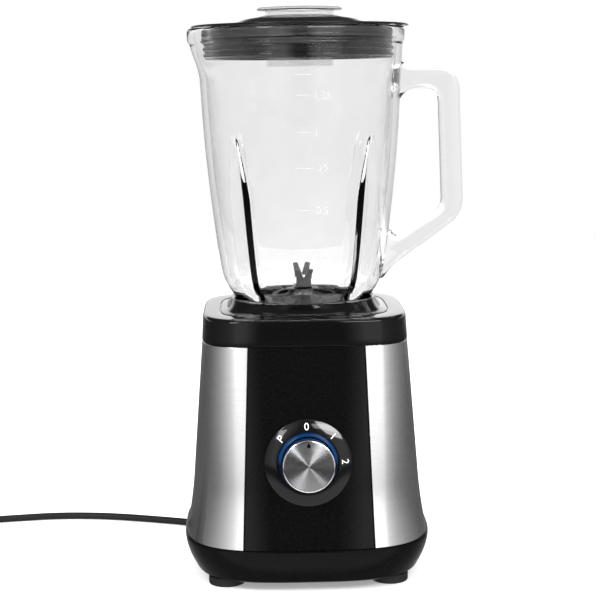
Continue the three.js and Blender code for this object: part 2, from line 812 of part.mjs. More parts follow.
// ---------------------------------------------------------------- cord
function cord() {
  const relief = [
    [RELIEF_BORE, 69],
    [7.5, 69],
    [7.5, 72.2],
    [5.6, 72.2],
    [5.6, 81],
    [7.4, 81.2],
    [7.4, 83.2],
    [5.6, 84.2],
    [3.9, RELIEF_END],
    [RELIEF_BORE, RELIEF_END],
  ];
  add("strain_relief", loopLathe(relief).rotateX(-Math.PI / 2).translate(CORD_X, 0, CORD_EXIT_Z), "rubber");

  const route = new THREE.CatmullRomCurve3(CORD_ROUTE.map((p) => new THREE.Vector3(...p)));
  const section = new THREE.Shape().absarc(0, 0, CORD_R, 0, TAU);
  const tubeOptions = { extrudePath: route, steps: 52, curveSegments: 4 };
  add("cord", new THREE.ExtrudeGeometry(section, tubeOptions), "rubber");

  const bundle = Array.from({ length: 8 }, (_, i) => {
    const t = (TAU * i) / 8;
    return [COIL_R + 7 * Math.cos(t), 6.6 + 6.5 * Math.sin(t)];
  });
  add("cord_coil", loopLathe(bundle, 24).translate(...COIL_AT, 0), "rubber");

  const outline = (z, wide, high) => ring(z, (t) => 1 / Math.hypot(Math.cos(t) / wide, Math.sin(t) / high), 16);
  const body = loft([outline(-14, 4.5, 4.5), outline(-4, 8, 6.4), outline(10, 12.5, 7), outline(24, 12.5, 7)]);
  const pins = [-9.5, 9.5].map((x) => rod(2, 20, 42, 10).translate(x, 0, 0));
  const lead = rod(CORD_R, -26, -10, 10);
  const plug = join(body, ...pins, lead).rotateX(Math.PI / 2);
  add("plug", plug.translate(COIL_AT[0] - COIL_R - CORD_R, 22, 7.1), "rubber");
}

baseShell();
tray();
feet();
topCover();
interlock();
controls();
motor();
jug();
jugFoot();
blades();
lid();
cord();

// The knob's lower edge is the foremost point, the strain relief's mouth the rearmost.
const FRONT = bodyHalf(DIAL_Z) + KNOB_FACE * Math.cos(LEAN) + KNOB_FACE_R * Math.sin(LEAN);
const AXIS_X = (TRAY_LIP_HALF - HANDLE_REACH) / 2;
const AXIS_Y = (FRONT - RELIEF_END) / 2;
group.position.set(AXIS_X, AXIS_Y, 0);

export default group;
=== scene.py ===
"""Looks of a countertop blender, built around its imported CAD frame.

Shapes are written in millimetres about the motor's axis, with the dial towards -Y, and place() turns
them into the frame's metres. Dial pieces are written about the dial's own axis, +Z leaving the panel.
"""

import json
from math import atan, atan2, cos, hypot, pi, radians, sin

import bmesh
import bpy
from mathutils import Matrix, Vector


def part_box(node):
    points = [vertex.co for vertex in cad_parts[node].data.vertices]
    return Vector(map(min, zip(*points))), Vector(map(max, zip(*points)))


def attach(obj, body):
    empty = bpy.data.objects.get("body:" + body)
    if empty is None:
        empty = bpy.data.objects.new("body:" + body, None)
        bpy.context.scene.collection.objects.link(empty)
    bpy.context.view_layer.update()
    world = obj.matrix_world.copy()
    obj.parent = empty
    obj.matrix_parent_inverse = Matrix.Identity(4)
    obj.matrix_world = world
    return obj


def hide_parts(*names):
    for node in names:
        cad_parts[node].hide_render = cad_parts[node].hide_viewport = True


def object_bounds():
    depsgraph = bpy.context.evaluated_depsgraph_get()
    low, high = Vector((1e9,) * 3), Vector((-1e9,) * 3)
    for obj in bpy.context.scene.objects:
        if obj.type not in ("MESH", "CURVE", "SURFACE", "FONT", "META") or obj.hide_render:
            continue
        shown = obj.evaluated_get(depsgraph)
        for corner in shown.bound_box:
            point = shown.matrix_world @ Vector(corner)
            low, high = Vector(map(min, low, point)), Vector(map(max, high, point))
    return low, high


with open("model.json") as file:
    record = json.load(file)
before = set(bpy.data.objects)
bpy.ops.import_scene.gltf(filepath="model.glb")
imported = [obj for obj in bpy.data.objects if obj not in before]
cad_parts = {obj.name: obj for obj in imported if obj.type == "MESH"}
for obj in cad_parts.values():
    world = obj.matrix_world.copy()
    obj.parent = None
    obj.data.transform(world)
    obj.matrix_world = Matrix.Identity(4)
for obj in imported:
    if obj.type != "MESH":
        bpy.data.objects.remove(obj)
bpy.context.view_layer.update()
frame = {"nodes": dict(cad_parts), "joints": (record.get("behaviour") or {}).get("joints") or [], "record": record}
scene = bpy.context.scene

MM = 0.001
MERGE_MM = 1e-5
MERGE_M = 1e-7
TAU = 2 * pi
joints = {joint["name"]: joint for joint in frame["joints"]}
AXIS = Vector((*joints["motor_spin"]["pos_m"][:2], 0.0))


def place(point):
    return Vector(point) * MM + AXIS


def heights(node):
    """Lowest and highest point of a CAD node, in millimetres."""
    low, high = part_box(node)
    return low.z / MM, high.z / MM


# ---------------------------------------------------------------- driving sizes
STEEL_LOW, STEEL_TOP = heights("steel_wrap")
TOP_HALF = 67.0
TAPER = 0.08
FLARE = 2.4
FLARE_FROM = 90.0
SHEET = 1.2
SEAM = 0.35
PANEL_TOP_HALF = 36.8
PANEL_LOW_HALF = 41.6

TRAY_LOW, TRAY_LIP = heights("bottom_tray")
TRAY_LOW_HALF = 73.0
TRAY_LIP_HALF = 81.0
TRAY_WALL = 2.5
TRAY_FLOOR = 9.0
TRAY_POWER = 3.4
FOOT_R = 12.0
FOOT_X = 53
FOOT_Y = 48
PLUNGER_R = 42.0
PLUNGER_ANGLE = 150

COVER_LOW, RIM_Z = heights("top_cover")[0] + 14.9, heights("top_cover")[1]
WELL_R = 45.2
WELL_FLOOR = 146.0

DIAL_Z = joints["knob_turn"]["pos_m"][2] / MM
BEZEL_R = 27.7
RING_R = 19.0
KNOB_R = 16.4
KNOB_FACE = 16.5

GLASS_TOP = heights("glass_jug")[1]
GLASS_WALL = 4.0
NECK_R = 36.8
NECK_BORE = 32.6
NECK_LOW = heights("glass_jug")[0]
JUG_SIDE = [(43.4, 179.6), (49.9, 190), (53.9, 201.5), (58.9, 238), (63.3, 282), (65.7, 322), (67, 347)]
RIB_TOP = 291.0
RIB_DEPTH = 3.5
RIB_HALF_ANGLE = 9.0
SPOUT = 5.4
SPOUT_HALF_ANGLE = 27.0
SPOUT_FROM = 325.0
HANDLE_WIDTH = 15.0

LID_R = 71.0
LID_TOP = 359.6
SKIRT_R = 58.7
SKIRT_LOW = heights("lid")[0]
CAP_R = 27.7
CAP_TOP = heights("measuring_cap")[1]
CAP_WALL_R = 23.3
CAP_LOW = heights("measuring_cap")[0]

BLADE_LOW = 186.5
BLADE_THICK = 1.4
UPPER_ANGLE = 91.0
LOWER_ANGLE = 8.0

CORD_R = 2.5
CORD_X = -5.0
CORD_EXIT_Z = 18.0
RELIEF_END = 104.0
COIL_AT = (-263.0, 70.0)
COIL_R = 29.0
CORD_Z = 2.6
CORD_ROUTE = [
    (CORD_X, 80, CORD_EXIT_Z), (CORD_X, 98, CORD_EXIT_Z), (-6, 110, 16.8), (-12, 122, 13.2),
    (-24, 129, 9), (-37, 127, 5.6), (-46, 118, 3.6), (-54, 105, 2.7), (-61, 94, 2.6),
    (-70, 86.8, 2.6), (-81, 86, 2.6), (-92, 89.8, 2.6), (-103, 93.9, 2.6), (-114, 97.8, 2.6),
    (-135, 104.5, 2.6), (-160, 109.5, 2.6), (-186, 110.5, 2.6), (-212, 107, 2.6),
    (-240.6, 102.4, 2.6),
]


# ---------------------------------------------------------------- outlines and solids
def mix(a, b, t):
    return a + (b - a) * t


def smoothstep(x, low, high):
    t = min(max((x - low) / (high - low), 0.0), 1.0)
    return t * t * (3 - 2 * t)


def rounded(points, cuts, steps=4, closed=True):
    """An outline whose corners are swapped for curves that start their cut away from them."""
    count = len(points)
    cuts = cuts if isinstance(cuts, list) else [cuts] * count
    result = []
    for i, cut in enumerate(cuts):
        here = Vector(points[i])
        if cut == 0 or (not closed and i in (0, count - 1)):
            result.append(tuple(here))
            continue
        back = Vector(points[i - 1]) - here
        ahead = Vector(points[(i + 1) % count]) - here
        start = here + back.normalized() * min(cut, back.length * 0.45)
        stop = here + ahead.normalized() * min(cut, ahead.length * 0.45)
        for k in range(steps + 1):
            t = k / steps
            result.append(tuple(start * (1 - t) ** 2 + here * (2 * t * (1 - t)) + stop * t**2))
    return result


def eased(points, steps=4):
    """rounded(), for points that end with their own cut."""
    return rounded([p[:-1] for p in points], [p[-1] for p in points], steps)


def spline(points, steps):
    """Points of the smooth curve through an open run of points."""
    ends = [points[0], *points, points[-1]]
    result = []
    for a, b, c, d in zip(ends, ends[1:], ends[2:], ends[3:]):
        a, b, c, d = Vector(a), Vector(b), Vector(c), Vector(d)
        for k in range(steps):
            t = k / steps
            bend = (2 * a - 5 * b + 4 * c - d) * t**2 + (3 * b - 3 * c + d - a) * t**3
            result.append(tuple((2 * b + (c - a) * t + bend) * 0.5))
    return [*result, tuple(points[-1])]


def curve_to(points, middle, end, steps=10):
    """Adds a quadratic curve from the last point to the end."""
    start, middle, end = Vector(points[-1]), Vector(middle), Vector(end)
    for k in range(1, steps + 1):
        t = k / steps
        points.append(tuple(start * (1 - t) ** 2 + middle * (2 * t * (1 - t)) + end * t**2))


def ring(z, radius, count=160):
    """A closed level at height z, whose radius is a number or a function of the polar angle."""
    angles = [TAU * i / count for i in range(count)]
    reach = [radius(t) if callable(radius) else radius for t in angles]
    return [(r * cos(t), r * sin(t), z) for r, t in zip(reach, angles)]


def crowned(half, power):
    """Radius of a square outline with crowned sides."""
    return lambda t: half / (abs(cos(t)) ** power + abs(sin(t)) ** power) ** (1 / power)


def loft(rings, joined=False):
    """Vertices and faces of a skin through levels of equal length, capped or joined last to first."""
    count = len(rings[0])
    faces = []
    for i in range(len(rings) if joined else len(rings) - 1):
        low, high = i * count, (i + 1) % len(rings) * count
        for j in range(count):
            k = (j + 1) % count
            faces.append((low + j, low + k, high + k, high + j))
    if not joined:
        last = (len(rings) - 1) * count
        faces.append(tuple(range(count))[::-1])
        faces.append(tuple(range(last, last + count)))
    return [point for level in rings for point in level], faces


def lathe(profile, count=160):
    """Solid of revolution about Z from a closed outline of radius and height."""
    return loft([ring(z, r, count) for r, z in profile], joined=True)


def rod(radius, low, high, at=(0, 0), count=32):
    return shifted(loft([ring(low, radius, count), ring(high, radius, count)]), *at)


def moved(shape, change):
    return [tuple(change(p)) for p in shape[0]], shape[1]


def shifted(shape, x, y):
    return moved(shape, lambda p: (p[0] + x, p[1] + y, p[2]))


def turned(shape, degrees):
    c, s = cos(radians(degrees)), sin(radians(degrees))
    return moved(shape, lambda p: (p[0] * c - p[1] * s, p[0] * s + p[1] * c, p[2]))


def together(*shapes):
    """Several separate shapes as one."""
    vertices, faces = [], []
    for points, polygons in shapes:
        faces += [tuple(i + len(vertices) for i in polygon) for polygon in polygons]
        vertices += points
    return vertices, faces


def mesh_of(name, shape, merge):
    """A mesh whose points closer than merge are one, with its normals outward."""
    mesh = bpy.data.meshes.new(name)
    mesh.from_pydata(shape[0], [], shape[1])
    edited = bmesh.new()
    edited.from_mesh(mesh)
    bmesh.ops.remove_doubles(edited, verts=edited.verts, dist=merge)
    bmesh.ops.recalc_face_normals(edited, faces=edited.faces)
    edited.to_mesh(mesh)
    edited.free()
    return mesh


def add(name, data):
    made = bpy.data.objects.new(name, data)
    scene.collection.objects.link(made)
    return made


def combine(shape, other, operation):
    """Two solids joined, or the first cut by the second."""
    helpers = [add("helper", mesh_of("helper", part, MERGE_MM)) for part in (shape, other)]
    modifier = helpers[0].modifiers.new("combine", "BOOLEAN")
    modifier.operation = operation
    modifier.solver = "MANIFOLD"
    modifier.object = helpers[1]
    bpy.context.view_layer.update()
    evaluated = helpers[0].evaluated_get(bpy.context.evaluated_depsgraph_get())
    mesh = evaluated.to_mesh()
    result = [tuple(v.co) for v in mesh.vertices], [tuple(p.vertices) for p in mesh.polygons]
    evaluated.to_mesh_clear()
    for helper in helpers:
        bpy.data.objects.remove(helper)
    return result


def piece(name, shape, body, material, slot, replaces=(), matrix=None, soften=0.0, crease=35.0):
    """A finished piece of the object, from a shape in millimetres."""
    if matrix is None:
        shape = moved(shape, place)
    else:
        shape = moved(shape, lambda p: Vector(p) * MM)
    mesh = mesh_of(name, shape, MERGE_M)
    mesh.shade_smooth()
    mesh.set_sharp_from_angle(angle=radians(crease))
    mesh.materials.append(material)
    made = add(name, mesh)
    if matrix is not None:
        made.matrix_world = matrix
    if soften:
        bevel = made.modifiers.new("soften", "BEVEL")
        bevel.width = soften * MM
        bevel.segments = 3
        bevel.limit_method = "ANGLE"
        bevel.angle_limit = radians(50)
        bevel.harden_normals = True
    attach(made, body)
    if replaces:
        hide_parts(*replaces)
    return made


# ---------------------------------------------------------------- materials
def new_material(name, **constants):
    """A node material, its shader and its tree. Constants are set on the shader's own sockets."""
    made = bpy.data.materials.new(name)
    made.use_nodes = True
    shader = made.node_tree.nodes["Principled BSDF"]
    for socket, value in constants.items():
        shader.inputs[socket.replace("_", " ")].default_value = value
    return made, shader, made.node_tree


def feed(node, socket, value):
    node.id_data.links.new(value, node.inputs[socket])


def object_space(tree):
    return tree.nodes.new("ShaderNodeTexCoord").outputs["Object"]


def noise(tree, scale, stretch=(1, 1, 1), detail=4.0):
    """Noise in the object's own metres; scale is cells per metre."""
    mapping = tree.nodes.new("ShaderNodeMapping")
    mapping.inputs["Scale"].default_value = stretch
    feed(mapping, "Vector", object_space(tree))
    texture = tree.nodes.new("ShaderNodeTexNoise")
    texture.inputs["Scale"].default_value = scale
    texture.inputs["Detail"].default_value = detail
    feed(texture, "Vector", mapping.outputs["Vector"])
    return texture.outputs["Fac"]


def between(tree, value, low, high):
    """The value, mapped from noise's usual range to low and high."""
    node = tree.nodes.new("ShaderNodeMapRange")
    node.inputs["From Min"].default_value = 0.3
    node.inputs["From Max"].default_value = 0.7
    node.inputs["To Min"].default_value = low
    node.inputs["To Max"].default_value = high
    feed(node, "Value", value)
    return node.outputs["Result"]


def tones(tree, value, dark, light):
    """Colour from dark to light as the value rises."""
    node = tree.nodes.new("ShaderNodeValToRGB")
    low, high = node.color_ramp.elements
    low.position, high.position = 0.3, 0.7
    low.color, high.color = (*dark, 1), (*light, 1)
    feed(node, "Fac", value)
    return node.outputs["Color"]


def emboss(tree, shader, value, strength, distance):
    node = tree.nodes.new("ShaderNodeBump")
    node.inputs["Strength"].default_value = strength
    node.inputs["Distance"].default_value = distance
    feed(node, "Height", value)
    feed(shader, "Normal", node.outputs["Normal"])


def surface(name, dark, light, rough, grain, stretch=(1, 1, 1), relief=0.0, **constants):
    """Opaque material whose colour and height follow noise at its grain, in cells per metre."""
    made, shader, tree = new_material(name, **constants)
    fine = noise(tree, grain, stretch)
    feed(shader, "Base Color", tones(tree, fine, dark, light))
    broad = noise(tree, 28.0, detail=3.0)
    feed(shader, "Roughness", between(tree, broad, *rough))
    if relief:
        emboss(tree, shader, fine, 0.5, relief * MM)
    return made


def radial_tangent(made):
    """Brushing that runs in circles about the piece's own Z."""
    tree = made.node_tree
    tangent = tree.nodes.new("ShaderNodeTangent")
    tangent.direction_type = "RADIAL"
    tangent.axis = "Z"
    tree.links.new(tangent.outputs["Tangent"], tree.nodes["Principled BSDF"].inputs["Tangent"])
    return made


def clear(name, density, tint, ripple, bend):
    """Glass or clear plastic, with faint waviness and a tint that deepens with thickness."""
    made, shader, tree = new_material(name, Transmission_Weight=1.0, IOR=bend, Specular_IOR_Level=0.06)
    wave = noise(tree, 55.0, detail=2.0)
    feed(shader, "Roughness", between(tree, wave, 0.0, 0.012))
    feed(shader, "Base Color", tones(tree, wave, grey(0.975), grey(1.0)))
    emboss(tree, shader, wave, 0.25, ripple * MM)
    volume = tree.nodes.new("ShaderNodeVolumeAbsorption")
    volume.inputs["Density"].default_value = density
    volume.inputs["Color"].default_value = (*tint, 1)
    tree.links.new(volume.outputs["Volume"], tree.nodes["Material Output"].inputs["Volume"])
    return made


def thin_clear():
    """A clear wall thin enough to see straight through."""
    made, shader, tree = new_material("thin_clear_plastic", Specular_IOR_Level=0.5)
    wave = noise(tree, 55.0, detail=2.0)
    feed(shader, "Base Color", tones(tree, wave, grey(0.45), grey(0.6)))
    feed(shader, "Roughness", between(tree, wave, 0.03, 0.08))
    feed(shader, "Alpha", between(tree, wave, 0.1, 0.16))
    return made


def spun_metal():
    """Lathe-turned face: fine rings about the piece's own Z."""
    grooved = dict(Anisotropic=0.97, Anisotropic_Rotation=0.25)
    made, shader, tree = new_material("spun_metal", Metallic=1.0, **grooved)
    wave = tree.nodes.new("ShaderNodeTexWave")
    wave.wave_type = "RINGS"
    wave.rings_direction = "Z"
    wave.inputs["Scale"].default_value = 900.0
    wave.inputs["Distortion"].default_value = 1.5
    wave.inputs["Detail"].default_value = 3.0
    feed(wave, "Vector", object_space(tree))
    shade = tones(tree, wave.outputs["Fac"], (0.13, 0.13, 0.133), (0.18, 0.18, 0.183))
    feed(shader, "Base Color", shade)
    feed(shader, "Roughness", between(tree, noise(tree, 300.0), 0.2, 0.24))
    emboss(tree, shader, wave.outputs["Fac"], 0.1, 0.004 * MM)
    return radial_tangent(made)


def lit_blue():
    """The lit ring, which fades from its top to its bottom."""
    made, shader, tree = new_material("lit_blue", Emission_Strength=1.0, Specular_IOR_Level=0.2)
    coordinates = tree.nodes.new("ShaderNodeTexCoord")
    parts = tree.nodes.new("ShaderNodeSeparateXYZ")
    tree.links.new(coordinates.outputs["Generated"], parts.inputs[0])
    height = between(tree, parts.outputs["Y"], -0.25, 1.15)
    grain = between(tree, noise(tree, 120.0), 0.85, 1.0)
    product = tree.nodes.new("ShaderNodeMath")
    product.operation = "MULTIPLY"
    tree.links.new(height, product.inputs[0])
    tree.links.new(grain, product.inputs[1])
    shade = tones(tree, product.outputs[0], (0.0004, 0.002, 0.008), (0.0006, 0.022, 0.08))
    feed(shader, "Base Color", shade)
    feed(shader, "Emission Color", shade)
    feed(shader, "Roughness", between(tree, noise(tree, 300.0), 0.18, 0.3))
    return made


def banded(name, dark, light, pitch, rough, **constants):
    """Stacked sheets or wound wire: fine bands one above the other."""
    made, shader, tree = new_material(name, **constants)
    wave = tree.nodes.new("ShaderNodeTexWave")
    wave.bands_direction = "Z"
    wave.inputs["Scale"].default_value = 1 / (pitch * MM) / 3.2
    wave.inputs["Distortion"].default_value = 0.4
    feed(wave, "Vector", object_space(tree))
    feed(shader, "Base Color", tones(tree, wave.outputs["Fac"], dark, light))
    feed(shader, "Roughness", between(tree, noise(tree, 200.0), *rough))
    emboss(tree, shader, wave.outputs["Fac"], 0.6, 0.2 * MM)
    return made


def circuit_board():
    """Green board with paler tracks."""
    made, shader, tree = new_material("circuit_board", Specular_IOR_Level=0.4)
    cells = tree.nodes.new("ShaderNodeTexVoronoi")
    cells.distance = "CHEBYCHEV"
    cells.inputs["Scale"].default_value = 260.0
    feed(cells, "Vector", object_space(tree))
    tracks = tones(tree, cells.outputs["Distance"], (0.01, 0.12, 0.05), (0.03, 0.22, 0.1))
    feed(shader, "Base Color", tracks)
    feed(shader, "Roughness", between(tree, noise(tree, 200.0), 0.3, 0.5))
    return made


def grey(value):
    return (value, value, value)


BLACK = dict(dark=grey(0.002), light=grey(0.004), grain=900.0, relief=0.004)
gloss_black = surface("gloss_black", rough=(0.05, 0.09), Specular_IOR_Level=0.22, **BLACK)
gasket_rubber = surface("gasket_rubber", rough=(0.14, 0.2), Specular_IOR_Level=0.3, **BLACK)
panel_black = surface("panel_black", rough=(0.04, 0.08), Specular_IOR_Level=0.12, **BLACK)
tray_black = surface("tray_black", rough=(0.1, 0.15), Specular_IOR_Level=0.06, **BLACK)
satin_black = surface("satin_black", grey(0.012), grey(0.022), (0.38, 0.5), 1400.0, relief=0.03)
DULL = dict(Specular_IOR_Level=0.25)
rubber = surface("rubber", grey(0.006), grey(0.014), (0.5, 0.68), 1600.0, relief=0.05, **DULL)
cord_rubber = surface("cord_rubber", grey(0.004), grey(0.01), (0.4, 0.5), 700.0, relief=0.04, **DULL)
METAL = dict(Metallic=1.0)
BRUSHED = dict(Anisotropic=0.6, Anisotropic_Rotation=0.25, **METAL)
steel = surface("brushed_steel", grey(0.73), grey(0.82), (0.19, 0.21), 90, (1, 1, 45), 0.0008, **BRUSHED)
radial_tangent(steel)
polished = surface("polished_steel", grey(0.55), grey(0.66), (0.08, 0.16), 500.0, **METAL)
blade_steel = surface("blade_steel", grey(0.04), grey(0.08), (0.2, 0.35), 300.0, (6, 1, 1), 0.02, **METAL)
cast_steel = surface("floor_steel", grey(0.08), grey(0.25), (0.35, 0.55), 420.0, relief=0.15, **METAL)
cast_metal = surface("cast_metal", grey(0.32), grey(0.42), (0.4, 0.55), 700.0, relief=0.08, **METAL)
grey_plastic = surface("grey_plastic", grey(0.2), grey(0.26), (0.35, 0.5), 900.0, relief=0.03)
bronze = surface("bronze", (0.42, 0.27, 0.12), (0.56, 0.38, 0.19), (0.28, 0.42), 800.0, **METAL)
carbon = surface("carbon", grey(0.02), grey(0.05), (0.5, 0.7), 1800.0, relief=0.05)
white_print = surface("white_print", grey(0.78), grey(0.88), (0.35, 0.45), 2400.0, relief=0.01)
lamination = banded("laminated_steel", grey(0.16), grey(0.34), 0.7, (0.35, 0.5), Metallic=0.9)
wire = banded("copper_wire", (0.3, 0.09, 0.03), (0.72, 0.3, 0.12), 0.9, (0.25, 0.4), Metallic=0.9)
glass = clear("glass", 18.0, (0.6, 0.6, 0.6), 0.04, 1.42)
clear_plastic = clear("clear_plastic", 30.0, (0.72, 0.74, 0.74), 0.04, 1.2)
thin_plastic = thin_clear()
knob_face_metal = spun_metal()
blue_light = lit_blue()
board = circuit_board()
mark_print = surface("mark_print", grey(0.55), grey(0.7), (0.2, 0.3), 2000.0, relief=0.02, Alpha=0.2)

BY_SLOT = {
    "glass": glass,
    "clear_plastic": clear_plastic,
    "black_gloss": gloss_black,
    "brushed_steel": steel,
    "polished_steel": polished,
    "matte_black": satin_black,
    "rubber": rubber,
    "lit_ring": blue_light,
    "circuit_board": board,
    "grey_plastic": grey_plastic,
    "cast_bracket": cast_metal,
    "laminated_steel": lamination,
    "copper": wire,
    "bronze": bronze,
    "carbon": carbon,
}


def dress_frame():
    """Every CAD node takes the material of its slot; piece() hides those that are replaced."""
    for part in frame["record"]["subparts"]:
        mesh = frame["nodes"][part["node"]].data
        mesh.materials.clear()
        mesh.materials.append(BY_SLOT[part["material_slot"]])


# ---------------------------------------------------------------- camera, lights and floor
CAMERA_AT = (-29.0, -1049.6, 324.5)
CAMERA_YAW = 1.4
CAMERA_PITCH = 7.85
CAMERA_ROLL = 0.75
CAMERA_LENS = 95.8


def make_camera():
    """The photo's camera: it looks ahead at a yaw and pitch, and is rolled a little."""
    yaw, pitch, roll = (radians(a) for a in (CAMERA_YAW, CAMERA_PITCH, CAMERA_ROLL))
    ahead = Vector((sin(yaw) * cos(pitch), cos(yaw) * cos(pitch), -sin(pitch)))
    level = Vector((cos(yaw), -sin(yaw), 0))
    upright = level.cross(ahead)
    right = level * cos(roll) - upright * sin(roll)
    up = upright * cos(roll) + level * sin(roll)
    data = bpy.data.cameras.new("camera")
    data.lens = CAMERA_LENS
    data.sensor_width = 36.0
    data.clip_start, data.clip_end = 0.05, 20.0
    camera = add("camera", data)
    turn = Matrix((right, up, -ahead)).transposed().to_4x4()
    camera.matrix_world = Matrix.Translation(place(CAMERA_AT)) @ turn
    scene.camera = camera


def area_light(name, at, aim, size, power, shape_ratio=1.0):
    """A softbox at one point, aimed at another; size in metres, power in watts."""
    data = bpy.data.lights.new(name, "AREA")
    data.shape = "RECTANGLE"
    data.size = size
    data.size_y = size * shape_ratio
    data.energy = power
    light = add(name, data)
    light.location = Vector(at)
    light.visible_camera = False
    light.rotation_mode = "QUATERNION"
    light.rotation_quaternion = (Vector(aim) - Vector(at)).to_track_quat("-Z", "Y")
    return light


def make_floor():
    """A pale floor that glows a little, less through the jug. Polished things don't mirror it."""
    size = 2.0
    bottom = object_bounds()[0].z
    corners = [(-size, -size, bottom), (size, -size, bottom), (size, size, bottom), (-size, size, bottom)]
    mesh = bpy.data.meshes.new("floor")
    mesh.from_pydata(corners, [], [(0, 1, 2, 3)])
    floor = add("floor", mesh)
    made, shader, tree = new_material("floor", Specular_IOR_Level=0.1)
    shade = tones(tree, noise(tree, 6.0), grey(0.86), grey(0.9))
    feed(shader, "Base Color", shade)
    shader.inputs["Emission Color"].default_value = (1, 1, 1, 1)
    path = tree.nodes.new("ShaderNodeLightPath")
    dimmed = tree.nodes.new("ShaderNodeMapRange")
    dimmed.inputs["To Min"].default_value = 0.3
    dimmed.inputs["To Max"].default_value = 0.15
    feed(dimmed, "Value", path.outputs["Transmission Depth"])
    feed(shader, "Emission Strength", dimmed.outputs["Result"])
    feed(shader, "Roughness", between(tree, noise(tree, 40.0), 0.8, 0.95))
    mesh.materials.append(made)
    floor.visible_glossy = False


# Brightness of the room as polished things see it, by the direction in degrees right of the camera.
ROOM = [
    (-180, 0.5), (-157, 0.2), (-140, 0.08), (-112, 0.14), (-87, 0.28), (-67, 0.45), (-51, 0.68),
    (-39, 0.98), (-30, 1.6), (-19, 1.6), (-6, 0.03), (6, 0.03), (19, 1.7), (43, 1.6), (48, 0.88),
    (63, 0.58), (82, 0.38), (106, 0.24), (133, 0.15), (149, 0.28), (167, 0.66), (180, 0.7),
]
REAR_GLOW = 1.15
REAR_WALL = 0.08
CEILING = 0.3
TABLE = 0.42
FRONT_GLOW = 1.18
LOW_WALL = 0.1
INSIDE = 0.09
ABOVE_INSIDE = 2.0
THROUGH_GLASS = 0.97


def make_world():
    """White surroundings. Polished things mirror a dark room with two bright panels instead."""
    world = bpy.data.worlds.new("studio")
    scene.world = world
    world.use_nodes = True
    world.cycles.sampling_method = "NONE"
    tree = world.node_tree
    nodes, links = tree.nodes, tree.links
    coordinates = nodes.new("ShaderNodeTexCoord")
    parts = nodes.new("ShaderNodeSeparateXYZ")
    links.new(coordinates.outputs["Generated"], parts.inputs[0])

    def calculate(operation, *values):
        node = nodes.new("ShaderNodeMath")
        node.operation = operation
        for socket, value in zip(node.inputs, values):
            if isinstance(value, (int, float)):
                socket.default_value = value
            else:
                links.new(value, socket)
        return node.outputs[0]

    def chosen(switch, off, on):
        difference = calculate("SUBTRACT", on, off)
        return calculate("ADD", off, calculate("MULTIPLY", switch, difference))

    x, y, z = parts.outputs
    angle = calculate("ARCTAN2", x, calculate("MULTIPLY", y, -1.0))
    ramp = nodes.new("ShaderNodeValToRGB")
    elements = ramp.color_ramp.elements
    while len(elements) < len(ROOM):
        elements.new(0.5)
    for element, (degrees, bright) in zip(elements, ROOM):
        element.position = (degrees + 180) / 360
        element.color = (bright / 2, bright / 2, bright / 2, 1)
    links.new(calculate("MULTIPLY_ADD", angle, 1 / TAU, 0.5), ramp.inputs["Fac"])
    level_room = calculate("MULTIPLY", ramp.outputs["Color"], 2.0)

    def fade(value, start, stop):
        node = nodes.new("ShaderNodeMapRange")
        node.interpolation_type = "SMOOTHSTEP"
        node.inputs["From Min"].default_value = start
        node.inputs["From Max"].default_value = stop
        links.new(value, node.inputs["Value"])
        return node.outputs["Result"]

    behind = fade(y, 0.2, 0.7)
    low = calculate("MULTIPLY", fade(z, 0.02, 0.08), fade(z, 0.34, 0.2))
    glow = calculate("MULTIPLY", behind, low)
    room = calculate("MULTIPLY_ADD", glow, REAR_GLOW, level_room)
    room = chosen(fade(z, -0.09, -0.17), room, LOW_WALL)
    room = chosen(fade(z, 0.5, 0.9), room, CEILING)
    room = chosen(calculate("MULTIPLY", behind, fade(z, 0.22, 0.36)), room, REAR_WALL)
    table = calculate("MULTIPLY_ADD", fade(y, -0.3, -0.6), FRONT_GLOW, TABLE)
    mirrored = chosen(fade(z, -0.22, -0.4), room, table)
    lit = calculate("MULTIPLY_ADD", z, 0.35, 1.1)
    path = nodes.new("ShaderNodeLightPath")
    glossy = calculate("GREATER_THAN", path.outputs["Glossy Depth"], 0.5)
    through = calculate("GREATER_THAN", path.outputs["Transmission Depth"], 0.5)
    deep = calculate("GREATER_THAN", path.outputs["Transmission Depth"], 3.5)
    inner = calculate("MULTIPLY_ADD", glow, REAR_GLOW, INSIDE)
    inner = calculate("MULTIPLY_ADD", fade(z, 0.3, 0.5), ABOVE_INSIDE, inner)
    outer = chosen(fade(y, -0.7, -0.2), LOW_WALL, THROUGH_GLASS)
    within = chosen(glossy, THROUGH_GLASS, chosen(deep, outer, inner))
    strength = chosen(path.outputs["Is Camera Ray"], lit, 1.0)
    strength = chosen(glossy, strength, mirrored)
    strength = chosen(through, strength, within)
    links.new(strength, nodes["Background"].inputs["Strength"])
    nodes["Background"].inputs["Color"].default_value = (1, 1, 1, 1)


def make_studio():
    scene.view_settings.view_transform = "Standard"
    scene.view_settings.look = "None"
    make_world()
    make_floor()
    middle = place((0, 0, 150))
    area_light("key", (-0.75, -0.85, 0.95), middle, 0.35, 7.0)
    area_light("fill", (0.47, -0.95, 0.73), middle, 0.78, 7.0, 0.32)
    area_light("top", (0.0, 0.1, 1.3), middle, 0.7, 5.0)


# ---------------------------------------------------------------- cord, coil, tie and plug
def by_coil(r, degrees, z):
    return (COIL_AT[0] + r * cos(radians(degrees)), COIL_AT[1] + r * sin(radians(degrees)), z)


